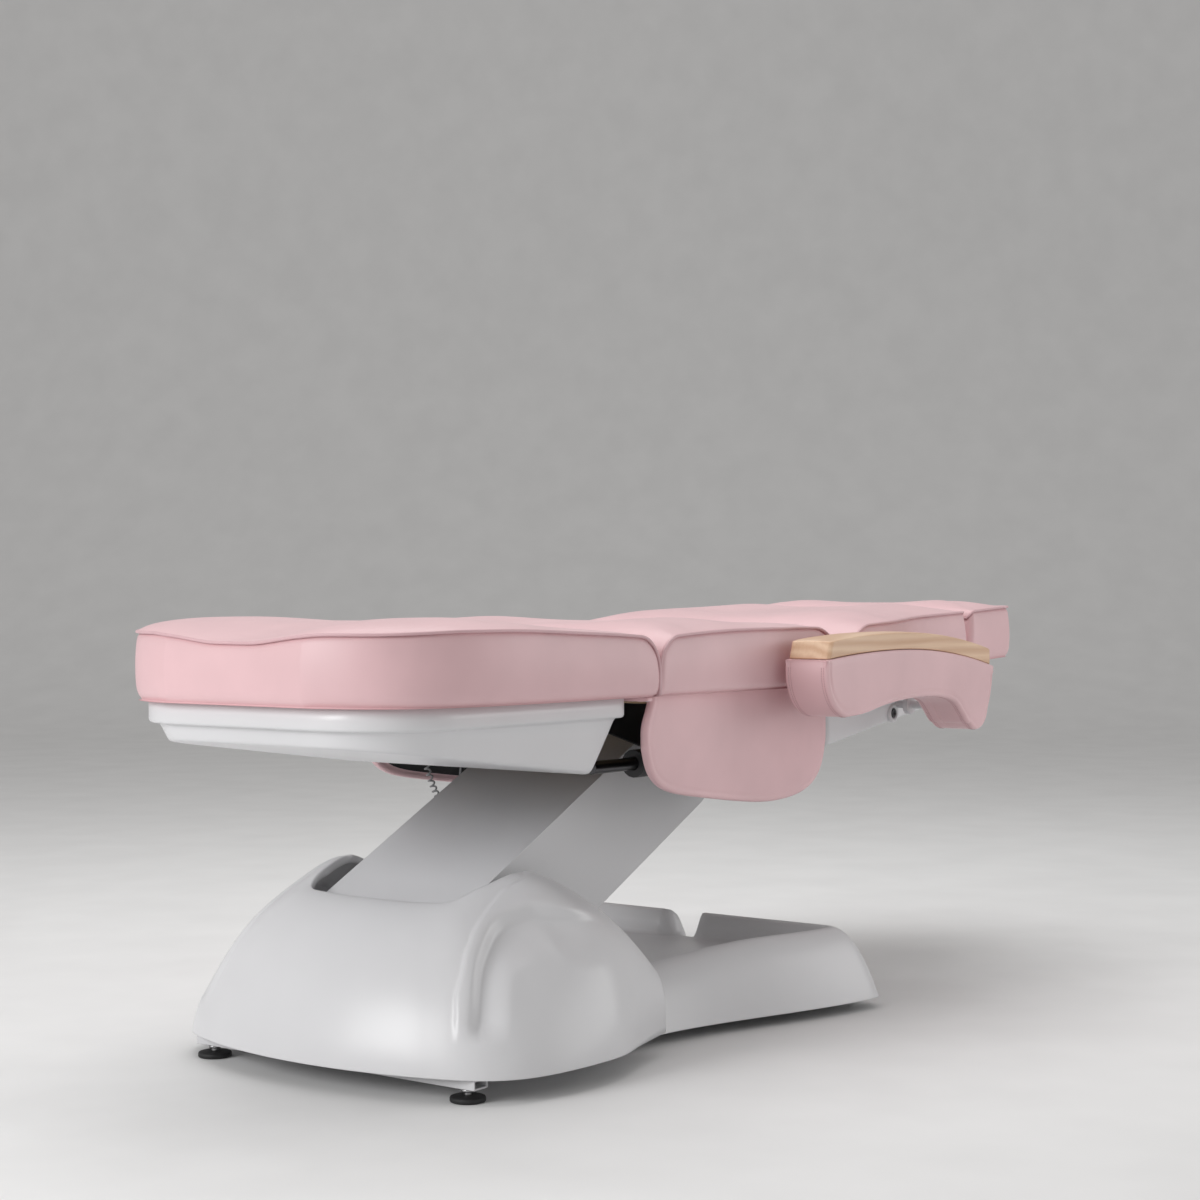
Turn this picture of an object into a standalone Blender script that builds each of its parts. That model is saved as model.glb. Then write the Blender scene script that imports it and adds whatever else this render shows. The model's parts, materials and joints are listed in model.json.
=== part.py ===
"""Electric treatment bed: leg, seat, back and head cushions carried by a parallelogram lift arm.

Metres, +Z up. Lengths run along X from the foot end of the leg cushion towards the head, the
client's left side is -Y, and the floor is Z = 0. The assembly empty then centres the bed on X.
"""

import math

import bmesh
import bpy
from mathutils import Matrix, Vector

# Clearances
GAP = 0.0003
RUNNING_GAP = 0.0015
BORE_CLEARANCE = 0.0003

# Cushions
CUSHION_HALF_WIDTH = 0.310
CUSHION_THICKNESS = 0.102
CUSHION_BOTTOM = 0.541
CUSHION_CROWN = 0.009
CUSHION_SIDE_SWELL = 0.004
CUSHION_HEM_INSET = 0.006
LEG_LENGTH = 0.5750
KNEE_SPLIT = 0.0025
SEAT_LENGTH = 0.5380
SECTION_SPLIT = 0.0045
BACK_LENGTH = 0.5480
HEAD_LENGTH = 0.1765
HEAD_SPLIT = 0.0055
HEAD_HALF_WIDTH = 0.267
FOOT_CORNER = 0.175
FOOT_SCOOP = 0.014
KNEE_ROUND = 0.048
HIP_ROUND = 0.092
NECK_CHAMFER = 0.0125
HEAD_EDGE = 0.020
SOFT_RUN = 0.150
SHOULDER_START = 0.150
SHOULDER_END = 0.390
BACK_TILT = math.radians(2.5)

# Boards under the cushions and the moulded trays round them
BOARD_THICKNESS = 0.012
TRAY_HALF_WIDTH = 0.270
TRAY_WALL = 0.003
TRAY_BAND = 0.031
TRAY_STEP = 0.014
TRAY_EDGE = 0.012
LEG_TRAY_START = 0.020
LEG_TRAY_KNEE_GAP = 0.017
LEG_TRAY_FOOT_Z = 0.475
LEG_TRAY_KNEE_Z = 0.418
LEG_TRAY_FOOT_RAKE = 0.010
LEG_TRAY_END_RAKE = 0.034
BACK_TRAY_HIP_GAP = 0.016
BACK_TRAY_NECK_GAP = 0.0325
BACK_TRAY_HIP_Z = 0.436
BACK_TRAY_HEAD_Z = 0.490
BACK_TRAY_HIP_RAKE = 0.002
BACK_TRAY_END_RAKE = 0.020
BACK_TRAY_NECK_CORNER = 0.060
TRAY_CORNER = 0.135
TRAY_SMALL_CORNER = 0.030
TRAY_SLOT_REACH = 0.070
TRAY_MOUTH_HALF = 0.125
TRAY_MOUTH_LOW = 0.455
TRAY_MOUTH_HEIGHT = 0.043

# Section frames: flat steel plates on edge
PLATE = 0.008
RAIL_HEIGHT = 0.025
SEAT_RAIL_Y = 0.150
MOVING_RAIL_Y = SEAT_RAIL_Y + PLATE + RUNNING_GAP
RAIL_TOP = CUSHION_BOTTOM - GAP - BOARD_THICKNESS - GAP
RAIL_BOTTOM = RAIL_TOP - RAIL_HEIGHT
CROSS_WIDTH = 0.025
RAIL_SKIRT = 0.010
RAIL_EASE = 0.004
RAIL_KNEE_RUN = 0.050
LEG_RAIL_INSET = 0.090
LEG_RAIL_TAPER = 0.020
LEG_RAIL_LEVER_RUN = 0.030
BACK_LEVER_RUN = 0.030
BACK_CROSS_INSET = 0.110
BACK_SLOT_DROP = 0.030
SEAT_BOARD_KNEE_GAP = 0.012
SEAT_BOARD_HIP_GAP = 0.016
SEAT_BOARD_CORNER = 0.020
HEAD_BRACKET_INSET = 0.050
HEAD_BRACKET_TAPER = 0.020
HEAD_BOARD_SIDE_INSET = 0.030
HEAD_BOARD_HINGE_GAP = 0.016
HEAD_BOARD_END_GAP = 0.025
HEAD_BOARD_CORNERS = (0.010, 0.030)
LEG_AXIS_Z = 0.510
HIP_AXIS_Z = 0.575
HEAD_AXIS_DROP = 0.0255
HINGE_PIN = 0.006
HIP_PIN = 0.0035
EYE_WALL = 0.006
HIP_EYE_WALL = 0.004
HIP_NECK = 0.0035
PIN_OVERHANG = 0.004

# Lift: parallelogram arm between base and carriage
CARRIAGE_SETBACK = 0.3275
CARRIAGE_Z = 0.4286
LIFT_RUN = 0.565
LIFT_Z = 0.147
ARM_HALF_WIDTH = 0.136
ARM_WALL = 0.005
ARM_FOOT_RADIUS = 0.0895
ARM_HEAD_RADIUS = 0.0915
ARM_FLOOR_START = 0.160
LIFT_RANGE = (math.radians(-4.0), math.radians(26.0))
SHAFT_RADIUS = 0.012
LINK_OFFSET = 0.050
LINK_ANGLE = math.radians(130.0)
LINK_HALF_HEIGHT = 0.014
LINK_WIDTH = 0.020
LINK_Y = 0.060
LINK_PIN = 0.007
LINK_SLOT_PLAY = 0.003
TOWER_Y = 0.112
TOWER_LENGTH = 0.110
TOWER_TOP_RADIUS = 0.034
TOWER_SHOULDER = 0.030
CRANK_RADIUS = 0.100
CRANK_REST = math.radians(-11.0)
CRANK_WIDTH = 0.024
CRANK_HUB = 0.024
CRANK_EYE = 0.015
CRANK_PLAY = 0.0026
CARRIAGE_PLATE = 0.006
CARRIAGE_FRONT_INSET = 0.0625
CARRIAGE_REAR_INSET = 0.0955
CARRIAGE_DROP = 0.072
CARRIAGE_EAR_DROP = 0.020
CARRIAGE_EAR_ROUND = 0.010
CARRIAGE_SHOULDER_REACH = 0.110
CARRIAGE_SHOULDER_RISE = 0.010
CARRIAGE_SHOULDER_ROUND = 0.040
CARRIAGE_TOE_REACH = 0.060
CARRIAGE_TOE_ROUND = 0.020

# Actuators
ROD_RADIUS = 0.010
ROD_PIN = 0.005
ROD_EYE = 0.012
ACTUATOR_TUBE = 0.022
ACTUATOR_MOTOR_HEIGHT = 0.060
ACTUATOR_MOTOR_WIDTH = 0.052
ACTUATOR_MOTOR_LENGTH = 0.110
MOTOR_DROP = 0.003
LUG_LENGTH = 0.030
LUG_HEIGHT = 0.025
SIDE_ACTUATOR_Y = 0.199
LIFT_TUBE_SETBACK = 0.360
LIFT_ROD_IN = 0.140
YOKE_GAP = 0.047
YOKE_LENGTH = 0.030
LEG_CRANK_RADIUS = 0.080
LEG_CRANK_REST = math.radians(-10.0)
LEG_TUBE_INSET = 0.0825
LEG_TUBE_LENGTH = 0.140
ROD_END_PLAY = 0.040
LEG_PIN_PLAY = 0.002
BACK_RANGE = math.radians(65.0)
BACK_PIN_DROP = 0.1106
BACK_SLOT_HALF_WIDTH = 0.0085
BACK_SLOT_REACH = 0.0225
BACK_SLOT_WALL = 0.008
BACK_TUBE_INSET = 0.1035
BACK_TUBE_LENGTH = 0.220

# Side flaps under the seat
FLAP_FRONT_OVERLAP = 0.0075
FLAP_REAR_INSET = 0.0155
FLAP_DEPTH = 0.183
FLAP_FRONT_RISE = 0.14
FLAP_OUTER_Y = 0.290
FLAP_THICKNESS = 0.016
FLAP_ROUND = 4.5

# Armrests
ARMREST_GAP = 0.020
ARMREST_WIDTH = 0.085
ARMREST_EDGE = 0.008
ARMREST_REACH = 0.525
ARMREST_TAIL = 0.060
ARMREST_RISE = 0.1060
ARMREST_PEAK = -0.274
ARMREST_FRONT_FALL = 0.197
ARMREST_REAR_FALL = 0.312
ARMREST_NOSE = (-0.450, 0.0755)
ARMREST_NOSE_RADIUS = 0.075
ARMREST_BELLY = ((-0.399, 0.0050), (-0.334, 0.0155), (-0.264, 0.0225), (-0.189, 0.0250), (-0.124, 0.0210))
ARMREST_INSTEP = ((-0.086, 0.0115), (-0.062, -0.0055), (-0.039, -0.0255))
ARMREST_TOE_RADIUS = 0.040
ARMREST_TAIL_Z = 0.0345
ARMREST_PIVOT_SETBACK = 0.294
ARMREST_PIVOT_Z = 0.4955
PIVOT_RADIUS = 0.007
PIVOT_EYE_WALL = 0.0035
PIVOT_COLLAR = 0.018
PIVOT_COLLAR_DEPTH = 0.010
PIVOT_DEPTH = 0.045
CAP_INSET = 0.004
CAP_SEAT = 0.0007
CAP_EDGE = 0.005
CAP_THICKNESS = 0.028

# Base
FOOT_HEIGHT = 0.019
FOOT_RADIUS = 0.025
FOOT_STEM = 0.006
FOOT_DISC = 0.008
TUBE = 0.030
FRONT_CROSS_REACH = 0.135
REAR_CROSS_INSET = 0.065
FRONT_CROSS_HALF = 0.270
REAR_CROSS_HALF = 0.290
FOOT_INSET = 0.0235
BASE_RAIL_Y = 0.150
FLOOR_PLATE = 0.006
FLOOR_PLATE_MARGIN = 0.020
CONTROL_LENGTH = 0.200
CONTROL_WIDTH = 0.090
CONTROL_HEIGHT = 0.055
CONTROL_EDGE = 0.004
CONTROL_REAR_GAP = 0.025
COVER_WALL = 0.003
NOSE_REACH = 0.210
HUMP_PEAK_SETBACK = 0.080
HUMP_END_SETBACK = 0.275
HUMP_BOTTOM = 0.034
HUMP_TOP = 0.286
HUMP_HALF_WIDTH = 0.342
WAIST_HALF_WIDTH = 0.292
TAIL_TOP = 0.138
MOUTH_REACH = 0.082
MOUTH_HALF_WIDTH = 0.180
MOUTH_LIP = 0.022
TONGUE_LENGTH = 0.040
REAR_REACH = 0.825
REAR_BOTTOM = 0.018
REAR_WAIST = 0.250
REAR_HALF_WIDTH = 0.368
PLATEAU_Z = 0.095
RIDGE_Z = 0.137
LOBE_LENGTH = 0.087
LOBE_RUN = 0.066
NOTCH_HALF = 0.020
NOTCH_ROUND = 0.015
RIDGE_START_RISE = 0.020
RIDGE_WIDTH = 0.125
RIDGE_INNER_SLOPE = 0.012
RIDGE_INNER_ROUND = 0.020
RIDGE_CREST_DROP = 0.003
RIDGE_SHOULDER = 0.070
RIDGE_OUTER_ROUND = 0.030
RIDGE_OUTER_DROP = 0.022
SKIRT_INSET = 0.008
INLET_SIZE = (0.024, 0.048, 0.028)
INLET_DEPTH = 0.022
INLET_EDGE = 0.002
INLET_Z = 0.050

# Curly lead of the back actuator
LEAD_RADIUS = 0.0016
CURL_RADIUS = 0.0042
CURLS = 16
CURL_POINTS = 8
LOOP_POINTS = 12
GLAND_RADIUS = 0.008
GLAND_LENGTH = 0.016
GLAND_INSET = 0.0405
GLAND_Y = 0.200
LEAD_LOW_SETBACK = 0.054
LEAD_LOW_Y = 0.197
LEAD_LOW_Z = 0.345

SEAT_START = LEG_LENGTH + KNEE_SPLIT
SEAT_END = SEAT_START + SEAT_LENGTH
HIP_X = SEAT_END + SECTION_SPLIT
BACK_START = HIP_X + SECTION_SPLIT
BACK_END = BACK_START + BACK_LENGTH
HEAD_START = BACK_END + HEAD_SPLIT
HEAD_AXIS_X = (BACK_END + HEAD_START) / 2
HEAD_AXIS_Z = CUSHION_BOTTOM - HEAD_AXIS_DROP
HEAD_END = HEAD_START + HEAD_LENGTH
LEG_AXIS_X = (LEG_LENGTH + SEAT_START) / 2
LEG_TRAY_END = LEG_LENGTH - LEG_TRAY_KNEE_GAP
BACK_TRAY_START = HIP_X + BACK_TRAY_HIP_GAP
BACK_TRAY_END = BACK_END - BACK_TRAY_NECK_GAP
CARRIAGE_X = SEAT_START + CARRIAGE_SETBACK
CARRIAGE_FRONT = SEAT_START + CARRIAGE_FRONT_INSET
CARRIAGE_REAR = SEAT_END - CARRIAGE_REAR_INSET
LEG_TUBE_START = SEAT_START + LEG_TUBE_INSET
BACK_TUBE_FRONT = SEAT_END - BACK_TUBE_INSET
FLAP_START = SEAT_START - FLAP_FRONT_OVERLAP
FLAP_END = SEAT_END - FLAP_REAR_INSET
GLAND_X = SEAT_START + GLAND_INSET
LEAD_LOW = (GLAND_X + LEAD_LOW_SETBACK, LEAD_LOW_Y, LEAD_LOW_Z)
ARMREST_INNER = CUSHION_HALF_WIDTH + ARMREST_GAP
ARMREST_OUTER = ARMREST_INNER + ARMREST_WIDTH
ARMREST_PIVOT_X = HIP_X + ARMREST_PIVOT_SETBACK
LIFT_X = CARRIAGE_X - LIFT_RUN
LIFT_TUBE_START = LIFT_X + LIFT_TUBE_SETBACK
FRONT_CROSS_X = LIFT_X - FRONT_CROSS_REACH
NOSE_X = LIFT_X - NOSE_REACH
MOUTH_FRONT = LIFT_X - MOUTH_REACH
HUMP_PEAK_X = LIFT_X + HUMP_PEAK_SETBACK
HUMP_END = LIFT_X + HUMP_END_SETBACK
REAR_START = HUMP_END - TONGUE_LENGTH
REAR_END = LIFT_X + REAR_REACH
REAR_CROSS_X = REAR_END - REAR_CROSS_INSET
CONTROL_X = REAR_CROSS_X - TUBE / 2 - CONTROL_REAR_GAP - CONTROL_LENGTH
LOBE_START = REAR_END - LOBE_LENGTH
BOARD_TOP = CUSHION_BOTTOM - GAP
BOARD_BOTTOM = BOARD_TOP - BOARD_THICKNESS
LINK_X = LINK_OFFSET * math.cos(LINK_ANGLE)
LINK_Z = LINK_OFFSET * math.sin(LINK_ANGLE)
CARRIAGE_Y = SEAT_RAIL_Y - GAP - CARRIAGE_PLATE
CARRIAGE_FACE = CARRIAGE_Y + CARRIAGE_PLATE + GAP
SIDES = {"left": -1, "right": 1}

PALETTE = {
    "leatherette": ((0.72, 0.44, 0.46), 0.45, 0.0),
    "white_plastic": ((0.72, 0.72, 0.74), 0.40, 0.0),
    "white_steel": ((0.70, 0.70, 0.72), 0.35, 0.0),
    "black_steel": ((0.02, 0.02, 0.022), 0.50, 0.0),
    "bare_steel": ((0.55, 0.55, 0.56), 0.30, 1.0),
    "wood": ((0.60, 0.36, 0.19), 0.45, 0.0),
    "plywood": ((0.50, 0.36, 0.22), 0.70, 0.0),
    "black_rubber": ((0.015, 0.015, 0.016), 0.70, 0.0),
    "grey_plastic": ((0.30, 0.30, 0.31), 0.50, 0.0),
}


def clear_scene():
    for obj in list(bpy.data.objects):
        bpy.data.objects.remove(obj, do_unlink=True)


def new_collection(name):
    collection = bpy.data.collections.new(name)
    bpy.context.scene.collection.children.link(collection)
    return collection


def make_materials():
    materials = {}
    for name, (colour, roughness, metallic) in PALETTE.items():
        material = bpy.data.materials.new(name)
        material.use_nodes = True
        shader = material.node_tree.nodes["Principled BSDF"]
        shader.inputs["Base Color"].default_value = (*colour, 1.0)
        shader.inputs["Roughness"].default_value = roughness
        shader.inputs["Metallic"].default_value = metallic
        material.diffuse_color = (*colour, 1.0)
        materials[name] = material
    return materials


class Body:
    """An empty on a joint's axis; pieces are drawn in bed coordinates and carried by it."""

    def __init__(self, name, position, parent=None, tilt=0.0):
        self.position = Vector(position)
        self.empty = bpy.data.objects.new(name, None)
        PARTS.objects.link(self.empty)
        self.empty.rotation_euler = (0.0, -tilt, 0.0)
        if parent:
            self.empty.location = self.position
            parent.carry(self.empty)

    def carry(self, obj):
        obj.parent = self.empty
        obj.matrix_parent_inverse = Matrix.Translation(-self.position)


def piece(name, data, body, material):
    obj = bpy.data.objects.new(name, data)
    PARTS.objects.link(obj)
    data.materials.append(MATERIALS[material])
    body.carry(obj)
    return obj


def cutter(name, data, body):
    obj = bpy.data.objects.new(name, data)
    CUTTERS.objects.link(obj)
    body.carry(obj)
    obj.hide_render = True
    obj.display_type = "WIRE"
    return obj


def boolean(obj, tool, operation="DIFFERENCE"):
    modifier = obj.modifiers.new(tool.name, "BOOLEAN")
    modifier.operation = operation
    modifier.object = tool
    modifier.solver = "EXACT"


def mesh_from(name, bm):
    mesh = bpy.data.meshes.new(name)
    bm.to_mesh(mesh)
    bm.free()
    return mesh


def box_mesh(name, low, high):
    bm = bmesh.new()
    bmesh.ops.create_cube(bm, size=1.0)
    low, high = Vector(low), Vector(high)
    bmesh.ops.scale(bm, vec=high - low, verts=bm.verts)
    bmesh.ops.translate(bm, vec=(low + high) / 2, verts=bm.verts)
    return mesh_from(name, bm)


def cylinder_mesh(name, start, end, radius, segments=16):
    start, end = Vector(start), Vector(end)
    bm = bmesh.new()
    bmesh.ops.create_cone(
        bm, cap_ends=True, segments=segments, radius1=radius, radius2=radius, depth=(end - start).length)
    turn = (end - start).to_track_quat("Z", "Y").to_matrix()
    bmesh.ops.rotate(bm, matrix=turn, verts=bm.verts)
    bmesh.ops.translate(bm, vec=(start + end) / 2, verts=bm.verts)
    mesh = mesh_from(name, bm)
    mesh.shade_smooth()
    mesh.set_sharp_from_angle(angle=math.radians(40))
    return mesh


def add_box(name, low, high, body, material, edge=0.0):
    obj = piece(name, box_mesh(name, low, high), body, material)
    if edge:
        bevel = obj.modifiers.new("rounded_edges", "BEVEL")
        bevel.width = edge
        bevel.segments = 2
    return obj


def add_cylinder(name, start, end, radius, body, material, segments=16):
    return piece(name, cylinder_mesh(name, start, end, radius, segments), body, material)


def arc(centre, radius, start, end, steps):
    angles = [start + (end - start) * i / steps for i in range(steps + 1)]
    return [(centre[0] + radius * math.cos(a), centre[1] + radius * math.sin(a)) for a in angles]


def circle(centre, radius, steps=12):
    return arc(centre, radius, 0.0, math.tau, steps)[:-1]


def around(start, start_radius, end, end_radius, steps=8):
    """Outline of two discs and the bar between them."""
    dx, dz = end[0] - start[0], end[1] - start[1]
    heading = math.atan2(dz, dx)
    lean = math.acos((start_radius - end_radius) / math.hypot(dx, dz))
    far = arc(end, end_radius, heading - lean, heading + lean, steps)
    near = arc(start, start_radius, heading + lean, heading + math.tau - lean, steps)
    return far + near


def filleted(corners, steps=4):
    """Closed outline with each corner (x, z, radius) rounded by an arc."""
    outline = []
    for index, (x, z, radius) in enumerate(corners):
        if radius == 0.0:
            outline.append((x, z))
            continue
        here = Vector((x, z))
        back = (Vector(corners[index - 1][:2]) - here).normalized()
        ahead = (Vector(corners[(index + 1) % len(corners)][:2]) - here).normalized()
        half = back.angle(ahead) / 2
        start = here + back * (radius / math.tan(half))
        centre = here + (back + ahead).normalized() * (radius / math.sin(half))
        spoke = start - centre
        sweep = math.pi - 2 * half
        turn = 1.0 if back.cross(ahead) < 0 else -1.0
        for i in range(steps + 1):
            angle = turn * sweep * i / steps
            outline.append(tuple(centre + Matrix.Rotation(angle, 2) @ spoke))
    return outline


def plate_curve(name, outline, y_range, holes=(), bevel=0.0):
    """Flat outline in the XZ plane, extruded along Y between the two values of y_range."""
    curve = bpy.data.curves.new(name, "CURVE")
    curve.dimensions = "2D"
    curve.fill_mode = "BOTH"
    curve.extrude = abs(y_range[1] - y_range[0]) / 2 - bevel
    curve.bevel_depth = bevel
    curve.bevel_resolution = 1
    curve.offset = -bevel
    for points in (outline, *holes):
        spline = curve.splines.new("POLY")
        spline.points.add(len(points) - 1)
        for point, (x, z) in zip(spline.points, points):
            point.co = (x, z, 0.0, 1.0)
        spline.use_cyclic_u = True
    return curve


def stand_up(obj, y_range):
    obj.rotation_euler = (math.pi / 2, 0.0, 0.0)
    obj.location = (0.0, (y_range[0] + y_range[1]) / 2, 0.0)


def add_plate(name, outline, y_range, body, material, holes=(), bevel=0.0):
    obj = piece(name, plate_curve(name, outline, y_range, holes, bevel), body, material)
    stand_up(obj, y_range)
    return obj


def plate_mesh(name, outline, y_range, holes=(), bevel=0.0):
    """The same plate as a welded mesh in bed coordinates, for a piece that is cut or that cuts."""
    curve_object = bpy.data.objects.new(name, plate_curve(name, outline, y_range, holes, bevel))
    PARTS.objects.link(curve_object)
    stand_up(curve_object, y_range)
    bpy.context.view_layer.update()
    evaluated = curve_object.evaluated_get(bpy.context.evaluated_depsgraph_get())
    bm = bmesh.new()
    bm.from_mesh(bpy.data.meshes.new_from_object(evaluated))
    bmesh.ops.transform(bm, matrix=curve_object.matrix_world, verts=bm.verts)
    bmesh.ops.remove_doubles(bm, verts=bm.verts, dist=1e-5)
    bpy.data.objects.remove(curve_object)
    return mesh_from(name, bm)


def both_sides(side, low, high):
    """Y range of a piece that lies between |Y| = low and high on one side."""
    return (low, high) if side > 0 else (-high, -low)


def smoothstep(value, start, end):
    t = min(1.0, max(0.0, (value - start) / (end - start)))
    return t * t * (3.0 - 2.0 * t)


def quarter_drop(distance, radius):
    """How far a rounded edge lies below its flat at a distance from the end."""
    if distance >= radius:
        return 0.0
    return radius - math.sqrt(max(0.0, radius ** 2 - (radius - distance) ** 2))


def soft_block(name, stations, shape, body):
    """A cube cut at three lists of stations, moved by shape(u, v, w) and smoothed."""
    bm = bmesh.new()
    bmesh.ops.create_cube(bm, size=2.0)
    for axis, values in enumerate(stations):
        edges = []
        for edge in bm.edges:
            span = edge.verts[1].co - edge.verts[0].co
            if abs(span[axis]) > max(abs(span[k]) for k in range(3) if k != axis):
                edges.append(edge)
        bmesh.ops.subdivide_edges(bm, edges=edges, cuts=len(values) - 2, use_grid_fill=True)
    for vert in bm.verts:
        place = []
        for axis, values in enumerate(stations):
            place.append(values[round((vert.co[axis] + 1.0) / 2.0 * (len(values) - 1))])
        vert.co = shape(*place)
    bm.normal_update()
    bmesh.ops.recalc_face_normals(bm, faces=bm.faces)
    obj = piece(name, mesh_from(name, bm), body, "leatherette")
    obj.data.shade_smooth()
    subdivide = obj.modifiers.new("soft", "SUBSURF")
    subdivide.levels = 1
    subdivide.render_levels = 1
    return obj


ACROSS = (-1.0, -0.93, -0.40, 0.40, 0.93, 1.0)
UPWARD = (0.0, 0.14, 0.86, 1.0)


def side_swell(w):
    """Outward offset of a cushion's side at height w: the hem is tucked in, the middle swells."""
    if w == 0.0:
        return -CUSHION_HEM_INSET
    return CUSHION_SIDE_SWELL if w < 1.0 else -CUSHION_SIDE_SWELL / 2


def cushion_point(x, v, w, half_width, end_drop, crown):
    y = v * half_width
    if abs(v) == 1.0:
        y += v * side_swell(w) - v * CUSHION_SIDE_SWELL
    height = CUSHION_THICKNESS - end_drop + crown * (1.0 - v * v)
    return (x, y, CUSHION_BOTTOM + w * height)


def add_leg_cushion(body):
    knee = LEG_LENGTH - KNEE_ROUND
    columns = (0.0, 0.10 * FOOT_CORNER, 0.40 * FOOT_CORNER, FOOT_CORNER, (FOOT_CORNER + knee) / 2, knee,
               LEG_LENGTH - 0.3 * KNEE_ROUND, LEG_LENGTH)

    def shape(x, v, w):
        corner = max(0.0, FOOT_CORNER - x)
        half_width = CUSHION_HALF_WIDTH - FOOT_CORNER + math.sqrt(FOOT_CORNER ** 2 - corner ** 2)
        drop = quarter_drop(LEG_LENGTH - x, KNEE_ROUND)
        drop += FOOT_SCOOP * (1.0 - v * v) * (1.0 - smoothstep(x, 0.0, FOOT_CORNER))
        crown = CUSHION_CROWN * smoothstep(x, 0.0, FOOT_CORNER) * smoothstep(LEG_LENGTH - x, 0.0, FOOT_CORNER)
        return cushion_point(x, v, w, half_width, drop, crown)

    return soft_block("leg_cushion", (columns, ACROSS, UPWARD), shape, body)


def add_seat_cushion(body):
    inner = SEAT_END - HIP_ROUND
    middle = SEAT_START + 0.34 * SEAT_LENGTH
    columns = (SEAT_START, SEAT_START + 0.3 * KNEE_ROUND, SEAT_START + KNEE_ROUND, middle, inner,
               inner + 0.5 * HIP_ROUND, inner + 0.86 * HIP_ROUND, SEAT_END)

    def shape(x, v, w):
        drop = quarter_drop(x - SEAT_START, KNEE_ROUND) + quarter_drop(SEAT_END - x, HIP_ROUND)
        crown = CUSHION_CROWN * smoothstep(x, SEAT_START, middle) * smoothstep(inner - x, 0.0, SOFT_RUN)
        return cushion_point(x, v, w, CUSHION_HALF_WIDTH, drop, crown)

    return soft_block("seat_cushion", (columns, ACROSS, UPWARD), shape, body)


def back_half_width(x):
    narrowing = smoothstep(x, HIP_X + SHOULDER_START, HIP_X + SHOULDER_END)
    return CUSHION_HALF_WIDTH - (CUSHION_HALF_WIDTH - HEAD_HALF_WIDTH) * narrowing


def add_back_cushion(body):
    outer = BACK_START + HIP_ROUND
    middle = [BACK_START + BACK_LENGTH * part for part in (0.32, 0.48, 0.64, 0.82)]
    columns = (BACK_START, BACK_START + 0.14 * HIP_ROUND, BACK_START + 0.5 * HIP_ROUND, outer, *middle,
               BACK_END - NECK_CHAMFER, BACK_END)

    def shape(x, v, w):
        drop = quarter_drop(x - BACK_START, HIP_ROUND)
        crown = CUSHION_CROWN * smoothstep(x, outer, outer + SOFT_RUN) * smoothstep(BACK_END - x, 0.0, SOFT_RUN)
        lean = NECK_CHAMFER * w if x == BACK_END else 0.0
        return cushion_point(x - lean, v, w, back_half_width(x), drop, crown)

    return soft_block("back_cushion", (columns, ACROSS, UPWARD), shape, body)


def add_head_cushion(body):
    middle = (HEAD_START + HEAD_END) / 2
    columns = (HEAD_START, HEAD_START + HEAD_EDGE, middle, HEAD_END - HEAD_EDGE, HEAD_END)

    def shape(x, v, w):
        swell = smoothstep(x, HEAD_START, middle) * smoothstep(HEAD_END - x, 0.0, middle - HEAD_START)
        lean = NECK_CHAMFER * w if x == HEAD_START else 0.0
        return cushion_point(x + lean, v, w, HEAD_HALF_WIDTH, 0.0, CUSHION_CROWN * swell)

    return soft_block("head_cushion", (columns, ACROSS, UPWARD), shape, body)


def add_side_flap(name, side, body):
    middle, reach = (FLAP_START + FLAP_END) / 2, (FLAP_END - FLAP_START) / 2
    along = (-1.0, -0.95, -0.80, -0.40, 0.0, 0.40, 0.74, 0.93, 1.0)
    through = (0.0, 0.25, 0.75, 1.0)

    def shape(u, depth, w):
        depth_here = FLAP_DEPTH * (1.0 - FLAP_FRONT_RISE * smoothstep(-u, -0.40, 0.75))
        hang = depth_here * max(0.12, 1.0 - abs(u) ** FLAP_ROUND) ** (1.0 / FLAP_ROUND)
        z = CUSHION_BOTTOM - GAP - hang * (1.0 - w)
        inset = 0.5 * FLAP_THICKNESS * (0.30 if abs(u) == 1.0 or w in (0.0, 1.0) else 0.0)
        y = FLAP_OUTER_Y - FLAP_THICKNESS * (1.0 - depth)
        if depth == 1.0:
            y -= inset
        elif depth == 0.0:
            y += inset
        return (middle + reach * u, side * y, z)

    return soft_block(name, (along, through, (0.0, 0.14, 0.90, 1.0)), shape, body)


def ring_outline(start, end, half_width, start_corner, end_corner, steps=5):
    """Plan outline in XY, counter-clockwise seen from above, with rounded corners."""
    corners = [(start, -half_width, start_corner), (end, -half_width, end_corner),
               (end, half_width, end_corner), (start, half_width, start_corner)]
    return filleted(corners, steps)


def loft(rings):
    """Closed rings of equal length joined by quads, with the last ring filled."""
    bm = bmesh.new()
    rows = [[bm.verts.new(point) for point in ring] for ring in rings]
    for upper, lower in zip(rows, rows[1:]):
        for i in range(len(upper)):
            j = (i + 1) % len(upper)
            bm.faces.new((upper[i], lower[i], lower[j], upper[j]))
    bm.faces.new(rows[-1][::-1])
    bmesh.ops.recalc_face_normals(bm, faces=bm.faces)
    return bm


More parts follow.
